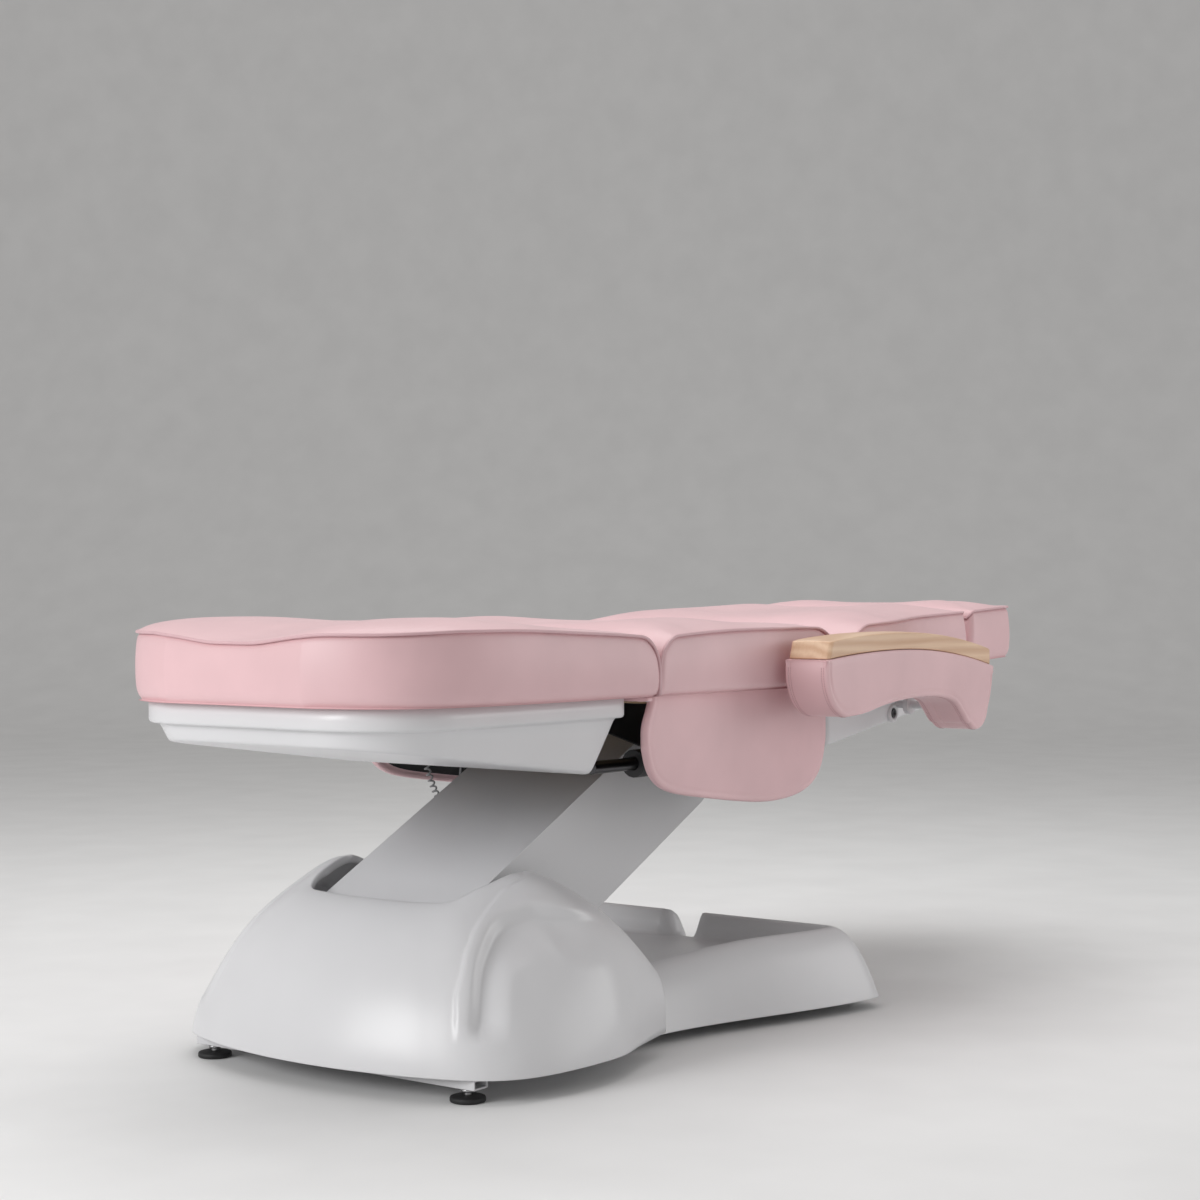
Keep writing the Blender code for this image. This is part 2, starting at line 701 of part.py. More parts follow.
def add_tray(name, start, end, start_z, end_z, corners, rakes, body):
    """Open moulded tray: a straight band, a step inwards and a sloping hull."""

    def floor_z(x):
        return start_z + (end_z - start_z) * (x - start) / (end - start)

    band_z = BOARD_TOP - TRAY_BAND
    hull = (start + TRAY_STEP + rakes[0], end - TRAY_STEP - rakes[1], TRAY_HALF_WIDTH - TRAY_STEP - TRAY_EDGE)
    outlines = (
        (start, end, TRAY_HALF_WIDTH, 0.0, lambda x: BOARD_TOP),
        (start, end, TRAY_HALF_WIDTH, 0.0, lambda x: band_z),
        (start + TRAY_STEP, end - TRAY_STEP, TRAY_HALF_WIDTH - TRAY_STEP, TRAY_STEP, lambda x: band_z),
        (hull[0] - TRAY_EDGE, hull[1] + TRAY_EDGE, hull[2] + TRAY_EDGE / 2, TRAY_STEP,
         lambda x: floor_z(x) + TRAY_EDGE),
        (*hull, TRAY_STEP + TRAY_EDGE, floor_z),
    )
    rings = []
    for x0, x1, half_width, shrink, height in outlines:
        outline = ring_outline(x0, x1, half_width, *(max(corner - shrink, 0.004) for corner in corners))
        rings.append([(x, y, height(x)) for x, y in outline])
    obj = piece(name, mesh_from(name, loft(rings)), body, "white_plastic")
    shell = obj.modifiers.new("wall", "SOLIDIFY")
    shell.thickness = TRAY_WALL
    shell.offset = -1.0
    shell.use_even_offset = True
    return obj


def add_board(name, outline, body):
    """Plywood panel with its outline in XY, lying just under the cushions."""
    curve = bpy.data.curves.new(name, "CURVE")
    curve.dimensions = "2D"
    curve.fill_mode = "BOTH"
    curve.extrude = BOARD_THICKNESS / 2
    spline = curve.splines.new("POLY")
    spline.points.add(len(outline) - 1)
    for point, (x, y) in zip(spline.points, outline):
        point.co = (x, y, 0.0, 1.0)
    spline.use_cyclic_u = True
    obj = piece(name, curve, body, "plywood")
    obj.location.z = (BOARD_TOP + BOARD_BOTTOM) / 2
    return obj


def polar(centre, radius, angle):
    """Point at a distance below centre, swung by angle towards +X."""
    return (centre[0] + radius * math.sin(angle), centre[1] - radius * math.cos(angle))


def seat_rail_outline():
    eye = HINGE_PIN + EYE_WALL
    hip_eye = HIP_PIN + HIP_EYE_WALL
    front = arc((LEG_AXIS_X, LEG_AXIS_Z), eye, math.pi / 2, 1.5 * math.pi, 6)
    crown = arc((HIP_X, HIP_AXIS_Z), hip_eye, math.radians(-60), math.radians(240), 8)
    neck_low = [(HIP_X - HIP_NECK, BOARD_TOP), (HIP_X - HIP_NECK, RAIL_TOP)]
    tail = [(HIP_X + HIP_NECK, RAIL_BOTTOM - RAIL_SKIRT), (HIP_X + HIP_NECK, BOARD_TOP)]
    return front + [(SEAT_START + RAIL_KNEE_RUN, RAIL_BOTTOM - RAIL_SKIRT)] + tail + crown + neck_low + [
        (LEG_AXIS_X, RAIL_TOP - RAIL_EASE)]


def add_seat_frame(body):
    leg_hole = circle((LEG_AXIS_X, LEG_AXIS_Z), HINGE_PIN + BORE_CLEARANCE)
    hip_hole = circle((HIP_X, HIP_AXIS_Z), HIP_PIN + BORE_CLEARANCE, 12)
    for label, side in SIDES.items():
        y_range = both_sides(side, SEAT_RAIL_Y, SEAT_RAIL_Y + PLATE)
        add_plate(f"seat_rail_{label}", seat_rail_outline(), y_range, body, "black_steel", (leg_hole, hip_hole))
    inside = SEAT_RAIL_Y - GAP
    crosses = {"seat_cross_front": CARRIAGE_FRONT - GAP - CROSS_WIDTH, "seat_cross_rear": CARRIAGE_REAR + GAP}
    for name, x in crosses.items():
        add_box(name, (x, -inside, RAIL_BOTTOM), (x + CROSS_WIDTH, inside, RAIL_TOP), body, "black_steel")
    edge = FLAP_OUTER_Y - FLAP_THICKNESS - GAP
    board = ring_outline(SEAT_START + SEAT_BOARD_KNEE_GAP, HIP_X - SEAT_BOARD_HIP_GAP, edge,
                         SEAT_BOARD_CORNER, SEAT_BOARD_CORNER, 3)
    add_board("seat_board", board, body)
    reach = MOVING_RAIL_Y + PLATE + PIN_OVERHANG
    add_cylinder("leg_hinge_shaft", (LEG_AXIS_X, -reach, LEG_AXIS_Z), (LEG_AXIS_X, reach, LEG_AXIS_Z),
                 HINGE_PIN, body, "bare_steel", 12)
    add_cylinder("hip_hinge_shaft", (HIP_X, -reach, HIP_AXIS_Z), (HIP_X, reach, HIP_AXIS_Z),
                 HIP_PIN, body, "bare_steel", 12)


def add_carriage(body):
    pivot = (CARRIAGE_X, CARRIAGE_Z)
    link = (CARRIAGE_X + LINK_X, CARRIAGE_Z + LINK_Z)
    low = CARRIAGE_Z - CARRIAGE_DROP
    shoulder = CARRIAGE_Z + CARRIAGE_SHOULDER_RISE
    outline = filleted([
        (CARRIAGE_FRONT, RAIL_TOP, 0.0),
        (CARRIAGE_FRONT, RAIL_BOTTOM - CARRIAGE_EAR_DROP, CARRIAGE_EAR_ROUND),
        (CARRIAGE_X - CARRIAGE_SHOULDER_REACH, shoulder, CARRIAGE_SHOULDER_ROUND),
        (CARRIAGE_X - CARRIAGE_TOE_REACH, low, CARRIAGE_TOE_ROUND),
        (CARRIAGE_X + CARRIAGE_TOE_REACH, low, CARRIAGE_TOE_ROUND),
        (CARRIAGE_REAR, shoulder, CARRIAGE_TOE_ROUND),
        (CARRIAGE_REAR, RAIL_TOP, 0.0)])
    holes = (circle(pivot, SHAFT_RADIUS + BORE_CLEARANCE, 16), circle(link, LINK_PIN + BORE_CLEARANCE, 12))
    for label, side in SIDES.items():
        y_range = both_sides(side, CARRIAGE_Y, CARRIAGE_Y + CARRIAGE_PLATE)
        add_plate(f"carriage_plate_{label}", outline, y_range, body, "black_steel", holes)


def add_lift_arm(body):
    foot, head = (LIFT_X, LIFT_Z), (CARRIAGE_X, CARRIAGE_Z)
    span = Vector(head) - Vector(foot)
    along = span.normalized()
    up = Vector((-along.y, along.x))
    outline = around(foot, ARM_FOOT_RADIUS, head, ARM_HEAD_RADIUS)
    box = plate_mesh("lift_arm", outline, (-ARM_HALF_WIDTH, ARM_HALF_WIDTH))
    arm = piece("lift_arm", box, body, "white_steel")
    inside = ARM_HALF_WIDTH - ARM_WALL
    reach = span.length + ARM_HEAD_RADIUS * 2
    taper = (ARM_HEAD_RADIUS - ARM_FOOT_RADIUS) / span.length

    def corner(distance, sign, extra=0.0):
        height = ARM_FOOT_RADIUS + taper * distance - ARM_WALL + extra
        return tuple(Vector(foot) + along * distance + up * (sign * height))

    hollow = [corner(-2 * ARM_FOOT_RADIUS, -1, ARM_FOOT_RADIUS), corner(ARM_FLOOR_START, -1, ARM_FOOT_RADIUS),
              corner(ARM_FLOOR_START, -1), corner(reach, -1), corner(reach, 1), corner(-2 * ARM_FOOT_RADIUS, 1)]
    boolean(arm, cutter("arm_hollow", plate_mesh("arm_hollow", hollow, (-inside, inside)), body))
    for name, (x, z) in (("arm_foot_bore", foot), ("arm_head_bore", head)):
        bore = cylinder_mesh(name, (x, -0.2, z), (x, 0.2, z), SHAFT_RADIUS + BORE_CLEARANCE)
        boolean(arm, cutter(name, bore, body))
    swept = [arc(head, LINK_OFFSET, LINK_ANGLE - angle, LINK_ANGLE - angle, 1)[0] for angle in LIFT_RANGE]
    slot = around(swept[0], LINK_PIN + LINK_SLOT_PLAY, swept[1], LINK_PIN + LINK_SLOT_PLAY + GAP)
    boolean(arm, cutter("arm_link_slot", plate_mesh("arm_link_slot", slot, (-0.2, 0.2)), body))
    reach = CARRIAGE_Y + CARRIAGE_PLATE - GAP
    add_cylinder("carriage_shaft", (CARRIAGE_X, -reach, CARRIAGE_Z), (CARRIAGE_X, reach, CARRIAGE_Z),
                 SHAFT_RADIUS, body, "bare_steel")
    tip = polar(foot, CRANK_RADIUS, CRANK_REST)
    eye = circle(tip, ROD_PIN + CRANK_PLAY, 12)
    crank_y = (-CRANK_WIDTH / 2, CRANK_WIDTH / 2)
    lever = plate_mesh("lift_crank", around(foot, CRANK_HUB, tip, CRANK_EYE), crank_y, [eye])
    crank = piece("lift_crank", lever, body, "black_steel")
    reach = ARM_HALF_WIDTH + PIN_OVERHANG
    shaft = cylinder_mesh("lift_shaft", (LIFT_X, -reach, LIFT_Z), (LIFT_X, reach, LIFT_Z), SHAFT_RADIUS)
    boolean(crank, cutter("lift_shaft", shaft, body), "UNION")


def add_parallel_link(body):
    foot = (LIFT_X + LINK_X, LIFT_Z + LINK_Z)
    head = (CARRIAGE_X + LINK_X, CARRIAGE_Z + LINK_Z)
    outline = around(foot, LINK_HALF_HEIGHT, head, LINK_HALF_HEIGHT + GAP, 6)
    y_range = (LINK_Y - LINK_WIDTH / 2, LINK_Y + LINK_WIDTH / 2)
    link = piece("parallel_link", plate_mesh("parallel_link", outline, y_range), body, "black_steel")
    ends = (("link_foot_pin", foot, TOWER_Y + PLATE), ("link_head_pin", head, CARRIAGE_Y + CARRIAGE_PLATE))
    for name, (x, z), reach in ends:
        pin = cylinder_mesh(name, (x, -reach, z), (x, reach, z), LINK_PIN, 12)
        boolean(link, cutter(name, pin, body), "UNION")


def add_actuator(name, x_front, x_back, y, z, body, motor_at_back=True, lug_to=None):
    """Bored tube along X with a motor housing; the rod runs in from the open end, a lug holds the motor."""
    front, back = (x_front, x_back) if motor_at_back else (x_back, x_front)
    step = 1.0 if motor_at_back else -1.0
    tube = piece(name, cylinder_mesh(name, (front, y, z), (back - step * 0.01, y, z), ACTUATOR_TUBE), body,
                 "grey_plastic")
    bore_end = back - step * ACTUATOR_MOTOR_LENGTH
    motor_x = sorted((back, bore_end))
    motor_low = z - ACTUATOR_TUBE - MOTOR_DROP
    motor = box_mesh(
        name + "_motor",
        (motor_x[0], y - ACTUATOR_MOTOR_WIDTH / 2, motor_low),
        (motor_x[1], y + ACTUATOR_MOTOR_WIDTH / 2, motor_low + ACTUATOR_MOTOR_HEIGHT))
    boolean(tube, cutter(name + "_motor", motor, body), "UNION")
    bore_start = front - step * ACTUATOR_TUBE
    bore = cylinder_mesh(name + "_bore", (bore_start, y, z), (bore_end, y, z), ROD_RADIUS + BORE_CLEARANCE)
    boolean(tube, cutter(name + "_bore", bore, body))
    if lug_to is not None:
        xs = sorted((bore_end, bore_end + step * LUG_LENGTH))
        ys = sorted((y, lug_to))
        lug = box_mesh(name + "_lug", (xs[0], ys[0], z), (xs[1], ys[1], z + LUG_HEIGHT))
        boolean(tube, cutter(name + "_lug", lug, body), "UNION")
    return tube


def add_rod(name, x_eye, x_end, y, z, pin_range, body):
    """Push rod along X with a cross pin through its eye."""
    step = 1.0 if x_end > x_eye else -1.0
    rod = add_cylinder(name, (x_eye - step * ROD_EYE, y, z), (x_end, y, z), ROD_RADIUS, body, "bare_steel", 12)
    pin = cylinder_mesh(name + "_pin", (x_eye, pin_range[0], z), (x_eye, pin_range[1], z), ROD_PIN, 12)
    boolean(rod, cutter(name + "_pin", pin, body), "UNION")
    return rod


def add_lift_drive(base, rod_body):
    tip_x, tip_z = polar((LIFT_X, LIFT_Z), CRANK_RADIUS, CRANK_REST)
    add_actuator("lift_actuator", LIFT_TUBE_START, REAR_CROSS_X - TUBE / 2 - GAP, 0.0, tip_z, base)
    rod_y = CRANK_WIDTH / 2 + RUNNING_GAP + ROD_RADIUS
    yoke_end = LIFT_TUBE_START - YOKE_GAP
    yoke_start = yoke_end - YOKE_LENGTH
    rod_start = (yoke_end - YOKE_LENGTH / 2, 0.0, tip_z)
    rod_end = (LIFT_TUBE_START + LIFT_ROD_IN, 0.0, tip_z)
    rod = add_cylinder("lift_rod", rod_start, rod_end, ROD_RADIUS, rod_body, "bare_steel", 12)
    for label, side in SIDES.items():
        y_range = both_sides(side, rod_y - ROD_RADIUS, rod_y + ROD_RADIUS / 2)
        fork = box_mesh(f"lift_fork_{label}", (tip_x - ROD_EYE, y_range[0], tip_z - ROD_EYE),
                        (yoke_end - GAP, y_range[1], tip_z + ROD_EYE))
        boolean(rod, cutter(f"lift_fork_{label}", fork, rod_body), "UNION")
    yoke_half = ROD_EYE - GAP
    yoke = box_mesh("lift_yoke", (yoke_start, -rod_y, tip_z - yoke_half), (yoke_end, rod_y, tip_z + yoke_half))
    boolean(rod, cutter("lift_yoke", yoke, rod_body), "UNION")
    pin = cylinder_mesh("lift_pin", (tip_x, -rod_y, tip_z), (tip_x, rod_y, tip_z), ROD_PIN, 12)
    boolean(rod, cutter("lift_pin", pin, rod_body), "UNION")


def add_leg_drive(seat, rod_body):
    side = SIDES["left"]
    y = side * SIDE_ACTUATOR_Y
    tip_x, tip_z = polar((LEG_AXIS_X, LEG_AXIS_Z), LEG_CRANK_RADIUS, LEG_CRANK_REST)
    add_actuator("leg_actuator", LEG_TUBE_START, LEG_TUBE_START + LEG_TUBE_LENGTH + ACTUATOR_MOTOR_LENGTH,
                 y, tip_z, seat, lug_to=side * CARRIAGE_FACE)
    pin_range = both_sides(side, MOVING_RAIL_Y - RUNNING_GAP / 2, SIDE_ACTUATOR_Y)
    add_rod("leg_rod", tip_x, LEG_TUBE_START + LEG_TUBE_LENGTH - ROD_END_PLAY, y, tip_z, pin_range, rod_body)


def back_pin():
    """Rod pin of the back drive at rest, in the flat back's frame turned to its rest tilt."""
    x = HIP_X - BACK_PIN_DROP * math.tan(BACK_RANGE / 2)
    return (x, HIP_AXIS_Z - BACK_PIN_DROP)


def add_back_drive(seat, rod_body):
    side = SIDES["right"]
    y = side * SIDE_ACTUATOR_Y
    x, z = back_pin()
    front = BACK_TUBE_FRONT
    add_actuator("back_actuator", front - BACK_TUBE_LENGTH - ACTUATOR_MOTOR_LENGTH, front, y, z, seat,
                 motor_at_back=False, lug_to=side * CARRIAGE_FACE)
    pin_range = both_sides(side, MOVING_RAIL_Y - RUNNING_GAP / 2, SIDE_ACTUATOR_Y)
    add_rod("back_rod", x, front - BACK_TUBE_LENGTH + ROD_END_PLAY, y, z, pin_range, rod_body)


def moving_rail_y(side):
    return both_sides(side, MOVING_RAIL_Y, MOVING_RAIL_Y + PLATE)


def add_leg_section(body):
    eye = HINGE_PIN + EYE_WALL
    axis = (LEG_AXIS_X, LEG_AXIS_Z)
    tip = polar(axis, LEG_CRANK_RADIUS, LEG_CRANK_REST)
    hole = circle(axis, HINGE_PIN + BORE_CLEARANCE)
    start = LEG_TRAY_START + LEG_RAIL_INSET
    top_run = [(LEG_AXIS_X - LEG_RAIL_TAPER, RAIL_TOP), (start, RAIL_TOP)]
    low_run = [(start, RAIL_BOTTOM), (LEG_AXIS_X - LEG_RAIL_LEVER_RUN, RAIL_BOTTOM)]
    for label, side in SIDES.items():
        if label == "left":
            lever = arc(tip, eye, math.radians(190), math.radians(360), 6)
            outline = low_run + lever + arc(axis, eye, 0.0, math.pi / 2, 4) + top_run
            holes = (hole, circle(tip, ROD_PIN + LEG_PIN_PLAY, 12))
        else:
            outline = low_run + arc(axis, eye, -math.pi / 2, math.pi / 2, 6) + top_run
            holes = (hole,)
        add_plate(f"leg_rail_{label}", outline, moving_rail_y(side), body, "black_steel", holes)
    inside = MOVING_RAIL_Y - GAP
    x = (LEG_TRAY_START + LEG_TRAY_END) / 2
    add_box("leg_cross", (x, -inside, RAIL_BOTTOM), (x + CROSS_WIDTH, inside, RAIL_TOP), body, "black_steel")
    corners = (TRAY_CORNER, TRAY_SMALL_CORNER)
    tray = add_tray("leg_tray", LEG_TRAY_START, LEG_TRAY_END, LEG_TRAY_FOOT_Z, LEG_TRAY_KNEE_Z, corners,
                    (LEG_TRAY_FOOT_RAKE, LEG_TRAY_END_RAKE), body)
    cut_rail_slots(tray, LEG_TRAY_END, body)
    cut_tray_mouth(tray, LEG_TRAY_END, body)
    add_board("leg_board", tray_board(LEG_TRAY_START, LEG_TRAY_END, corners), body)
    add_leg_cushion(body)


def tray_board(start, end, corners):
    wall = TRAY_WALL + 2 * GAP
    return ring_outline(start + wall, end - wall, TRAY_HALF_WIDTH - wall, *(c - wall for c in corners))


def cut_rail_slots(tray, x, body, drop=0.0):
    """Openings in a tray's end wall where the section's rails pass out to their hinge."""
    clearance = 2 * RUNNING_GAP
    for label, side in SIDES.items():
        low, high = both_sides(side, MOVING_RAIL_Y - clearance, MOVING_RAIL_Y + PLATE + clearance)
        slot = box_mesh(f"{tray.name}_slot_{label}", (x - TRAY_SLOT_REACH, low, RAIL_BOTTOM - clearance - drop),
                        (x + TRAY_SLOT_REACH, high, BOARD_BOTTOM))
        boolean(tray, cutter(f"{tray.name}_slot_{label}", slot, body))


def cut_tray_mouth(tray, x, body):
    """Wide opening under the rails in a tray's hinge end."""
    mouth = box_mesh(tray.name + "_mouth", (x - TRAY_SLOT_REACH, -TRAY_MOUTH_HALF, TRAY_MOUTH_LOW),
                     (x + TRAY_SLOT_REACH, TRAY_MOUTH_HALF, TRAY_MOUTH_LOW + TRAY_MOUTH_HEIGHT))
    boolean(tray, cutter(tray.name + "_mouth", mouth, body))


def add_back_section(body):
    hip = (HIP_X, HIP_AXIS_Z)
    neck = (HEAD_AXIS_X, HEAD_AXIS_Z)
    hip_eye = HIP_PIN + HIP_EYE_WALL
    eye = HINGE_PIN + EYE_WALL
    untilt = Matrix.Rotation(-BACK_TILT, 2)
    pivot = tuple(untilt @ (Vector((ARMREST_PIVOT_X, ARMREST_PIVOT_Z)) - Vector(hip)) + Vector(hip))
    hanger = PIVOT_RADIUS + PIVOT_EYE_WALL
    rail_start = HIP_X + HIP_NECK
    holes = [circle(hip, HIP_PIN + BORE_CLEARANCE, 12), circle(neck, HINGE_PIN + BORE_CLEARANCE),
             circle(pivot, PIVOT_RADIUS + BORE_CLEARANCE)]
    top = arc(neck, eye, -math.pi / 2, math.pi / 2, 6) + [(BACK_TRAY_START, RAIL_TOP), (rail_start, BOARD_TOP)]
    top += arc(hip, hip_eye, math.radians(-60), math.radians(240), 8) + [(HIP_X - HIP_NECK, BOARD_TOP)]
    plain_low = [(HIP_X - HIP_NECK, RAIL_BOTTOM)]
    loop = arc(pivot, hanger, math.radians(180), math.radians(360), 6)
    under = [(pivot[0] - hanger, RAIL_BOTTOM)] + loop + [(pivot[0] + hanger, RAIL_BOTTOM)]
    slot_centre = BACK_PIN_DROP + (BACK_SLOT_REACH - BACK_SLOT_HALF_WIDTH) / 2
    swing = -BACK_RANGE / 2 - BACK_TILT
    slot_ends = [polar(hip, slot_centre + sign * BACK_SLOT_REACH / 2, swing) for sign in (-1, 1)]
    slot = around(slot_ends[0], BACK_SLOT_HALF_WIDTH, slot_ends[1], BACK_SLOT_HALF_WIDTH + GAP / 10, 5)
    lobe = BACK_SLOT_HALF_WIDTH + BACK_SLOT_WALL
    shoulder = polar(slot_ends[0], lobe, swing - math.pi / 2)
    lever = [shoulder] + arc(slot_ends[1], lobe, swing + math.pi, swing + math.tau, 6)
    for label, side in SIDES.items():
        if label == "right":
            low = [(HIP_X - HIP_NECK, RAIL_TOP)] + lever + [(BACK_TRAY_START + BACK_LEVER_RUN, RAIL_BOTTOM)]
            outline, cuts = low + under + top, (*holes, slot)
        else:
            outline, cuts = plain_low + under + top, holes
        add_plate(f"back_rail_{label}", outline, moving_rail_y(side), body, "black_steel", cuts)
    collar = (TRAY_HALF_WIDTH + GAP, TRAY_HALF_WIDTH + PIVOT_COLLAR_DEPTH)
    half = [(PIVOT_RADIUS, collar[0]), (PIVOT_COLLAR, collar[0]), (PIVOT_COLLAR, collar[1]),
            (PIVOT_RADIUS, collar[1]), (PIVOT_RADIUS, ARMREST_INNER + PIVOT_DEPTH)]
    add_turned("armrest_shaft", [(r, -y) for r, y in reversed(half)] + half, pivot, body)
    inside = MOVING_RAIL_Y - GAP
    x = BACK_TRAY_START + BACK_CROSS_INSET
    add_box("back_cross", (x, -inside, RAIL_BOTTOM), (x + CROSS_WIDTH, inside, RAIL_TOP), body, "black_steel")
    corners = (TRAY_SMALL_CORNER, BACK_TRAY_NECK_CORNER)
    tray = add_tray("back_tray", BACK_TRAY_START, BACK_TRAY_END, BACK_TRAY_HIP_Z, BACK_TRAY_HEAD_Z, corners,
                    (BACK_TRAY_HIP_RAKE, BACK_TRAY_END_RAKE), body)
    cut_rail_slots(tray, BACK_TRAY_START, body, drop=BACK_SLOT_DROP)
    cut_rail_slots(tray, BACK_TRAY_END, body)
    cut_tray_mouth(tray, BACK_TRAY_START, body)
    bore_ends = [(pivot[0], side * ARMREST_OUTER, pivot[1]) for side in SIDES.values()]
    bore = cylinder_mesh("tray_pivot_bore", *bore_ends, PIVOT_RADIUS + BORE_CLEARANCE)
    boolean(tray, cutter("tray_pivot_bore", bore, body))
    add_board("back_board", tray_board(BACK_TRAY_START, BACK_TRAY_END, corners), body)
    add_back_cushion(body)


def add_turned(name, profile, centre, body):
    """Turned piece on an axis along Y through centre (x, z); profile holds (radius, y) pairs."""
    bm = bmesh.new()
    points = [(0.0, profile[0][1]), *profile, (0.0, profile[-1][1])]
    verts = [bm.verts.new((radius, y, 0.0)) for radius, y in points]
    for start, end in zip(verts, verts[1:]):
        bm.edges.new((start, end))
    bmesh.ops.spin(bm, geom=bm.verts[:] + bm.edges[:], axis=(0, 1, 0), cent=(0, 0, 0), angle=math.tau, steps=12)
    bmesh.ops.remove_doubles(bm, verts=bm.verts, dist=1e-6)
    bmesh.ops.recalc_face_normals(bm, faces=bm.faces)
    bmesh.ops.translate(bm, vec=(centre[0], 0.0, centre[1]), verts=bm.verts)
    return piece(name, mesh_from(name, bm), body, "bare_steel")


def add_head_section(body):
    eye = HINGE_PIN + EYE_WALL
    axis = (HEAD_AXIS_X, HEAD_AXIS_Z)
    end = HEAD_END - HEAD_BRACKET_INSET
    outline = arc(axis, eye, math.pi / 2, 1.5 * math.pi, 6) + [
        (end, HEAD_AXIS_Z - eye), (end, RAIL_TOP), (HEAD_AXIS_X + HEAD_BRACKET_TAPER, RAIL_TOP)]
    hole = (circle(axis, HINGE_PIN + BORE_CLEARANCE),)
    bracket_half = MOVING_RAIL_Y - RUNNING_GAP
    add_plate("head_bracket", outline, (-bracket_half, bracket_half), body, "black_steel", hole)
    reach = MOVING_RAIL_Y + PLATE + PIN_OVERHANG
    add_cylinder("head_hinge_shaft", (axis[0], -reach, axis[1]), (axis[0], reach, axis[1]),
                 HINGE_PIN, body, "bare_steel", 12)
    board = ring_outline(HEAD_AXIS_X + HEAD_BOARD_HINGE_GAP, HEAD_END - HEAD_BOARD_END_GAP,
                         HEAD_HALF_WIDTH - HEAD_BOARD_SIDE_INSET, *HEAD_BOARD_CORNERS, 3)
    add_board("head_board", board, body)
    add_head_cushion(body)


def armrest_top(x):
    """Height of the wooden cap's underside above the pivot, x being measured from the pivot."""
    fall = ARMREST_FRONT_FALL if x < ARMREST_PEAK else ARMREST_REAR_FALL
    return ARMREST_RISE - fall * (x - ARMREST_PEAK) ** 2


def armrest_run(inset, steps=9):
    """Stations along the armrest, from its front end to its heel."""
    length = ARMREST_REACH + ARMREST_TAIL - 2 * inset
    return [inset - ARMREST_REACH + length * i / steps for i in range(steps + 1)]


def from_pivot(points):
    return [(ARMREST_PIVOT_X + x, ARMREST_PIVOT_Z + z) for x, z in points]


def add_armrest(label, side, body):
    top = [(x, armrest_top(x)) for x in reversed(armrest_run(CAP_INSET))]
    front = arc(ARMREST_NOSE, ARMREST_NOSE_RADIUS, math.radians(165), math.radians(262), 6)
    toe = arc((0.0, 0.0), ARMREST_TOE_RADIUS, math.radians(225), math.radians(350), 6)
    tail = [(ARMREST_TAIL, ARMREST_TAIL_Z)]
    outline = from_pivot([*top, *front, *ARMREST_BELLY, *ARMREST_INSTEP, *toe, *tail])
    y_range = both_sides(side, ARMREST_INNER, ARMREST_OUTER)
    name = f"armrest_body_{label}"
    pad = piece(name, plate_mesh(name, outline, y_range, bevel=ARMREST_EDGE), body, "leatherette")
    bore = cylinder_mesh(
        name + "_bore",
        (ARMREST_PIVOT_X, side * (ARMREST_INNER - PIVOT_DEPTH), ARMREST_PIVOT_Z),
        (ARMREST_PIVOT_X, side * (ARMREST_INNER + PIVOT_DEPTH + GAP), ARMREST_PIVOT_Z),
        PIVOT_RADIUS + BORE_CLEARANCE)
    boolean(pad, cutter(name + "_bore", bore, body))
    run = armrest_run(CAP_INSET)
    under = [(x, armrest_top(x) + CAP_SEAT) for x in run]
    over = [(x, armrest_top(x) + CAP_THICKNESS) for x in reversed(run[1:-1])]
    nose = [(run[0] + 2 * CAP_EDGE, armrest_top(run[0]) + CAP_THICKNESS)]
    heel_end = [(run[-1], armrest_top(run[-1]) + CAP_THICKNESS - CAP_EDGE)]
    cap_y = both_sides(side, ARMREST_INNER + CAP_INSET, ARMREST_OUTER - CAP_INSET)
    cap = from_pivot(under + heel_end + over + nose)
    add_plate(f"armrest_cap_{label}", cap, cap_y, body, "wood", bevel=CAP_EDGE)


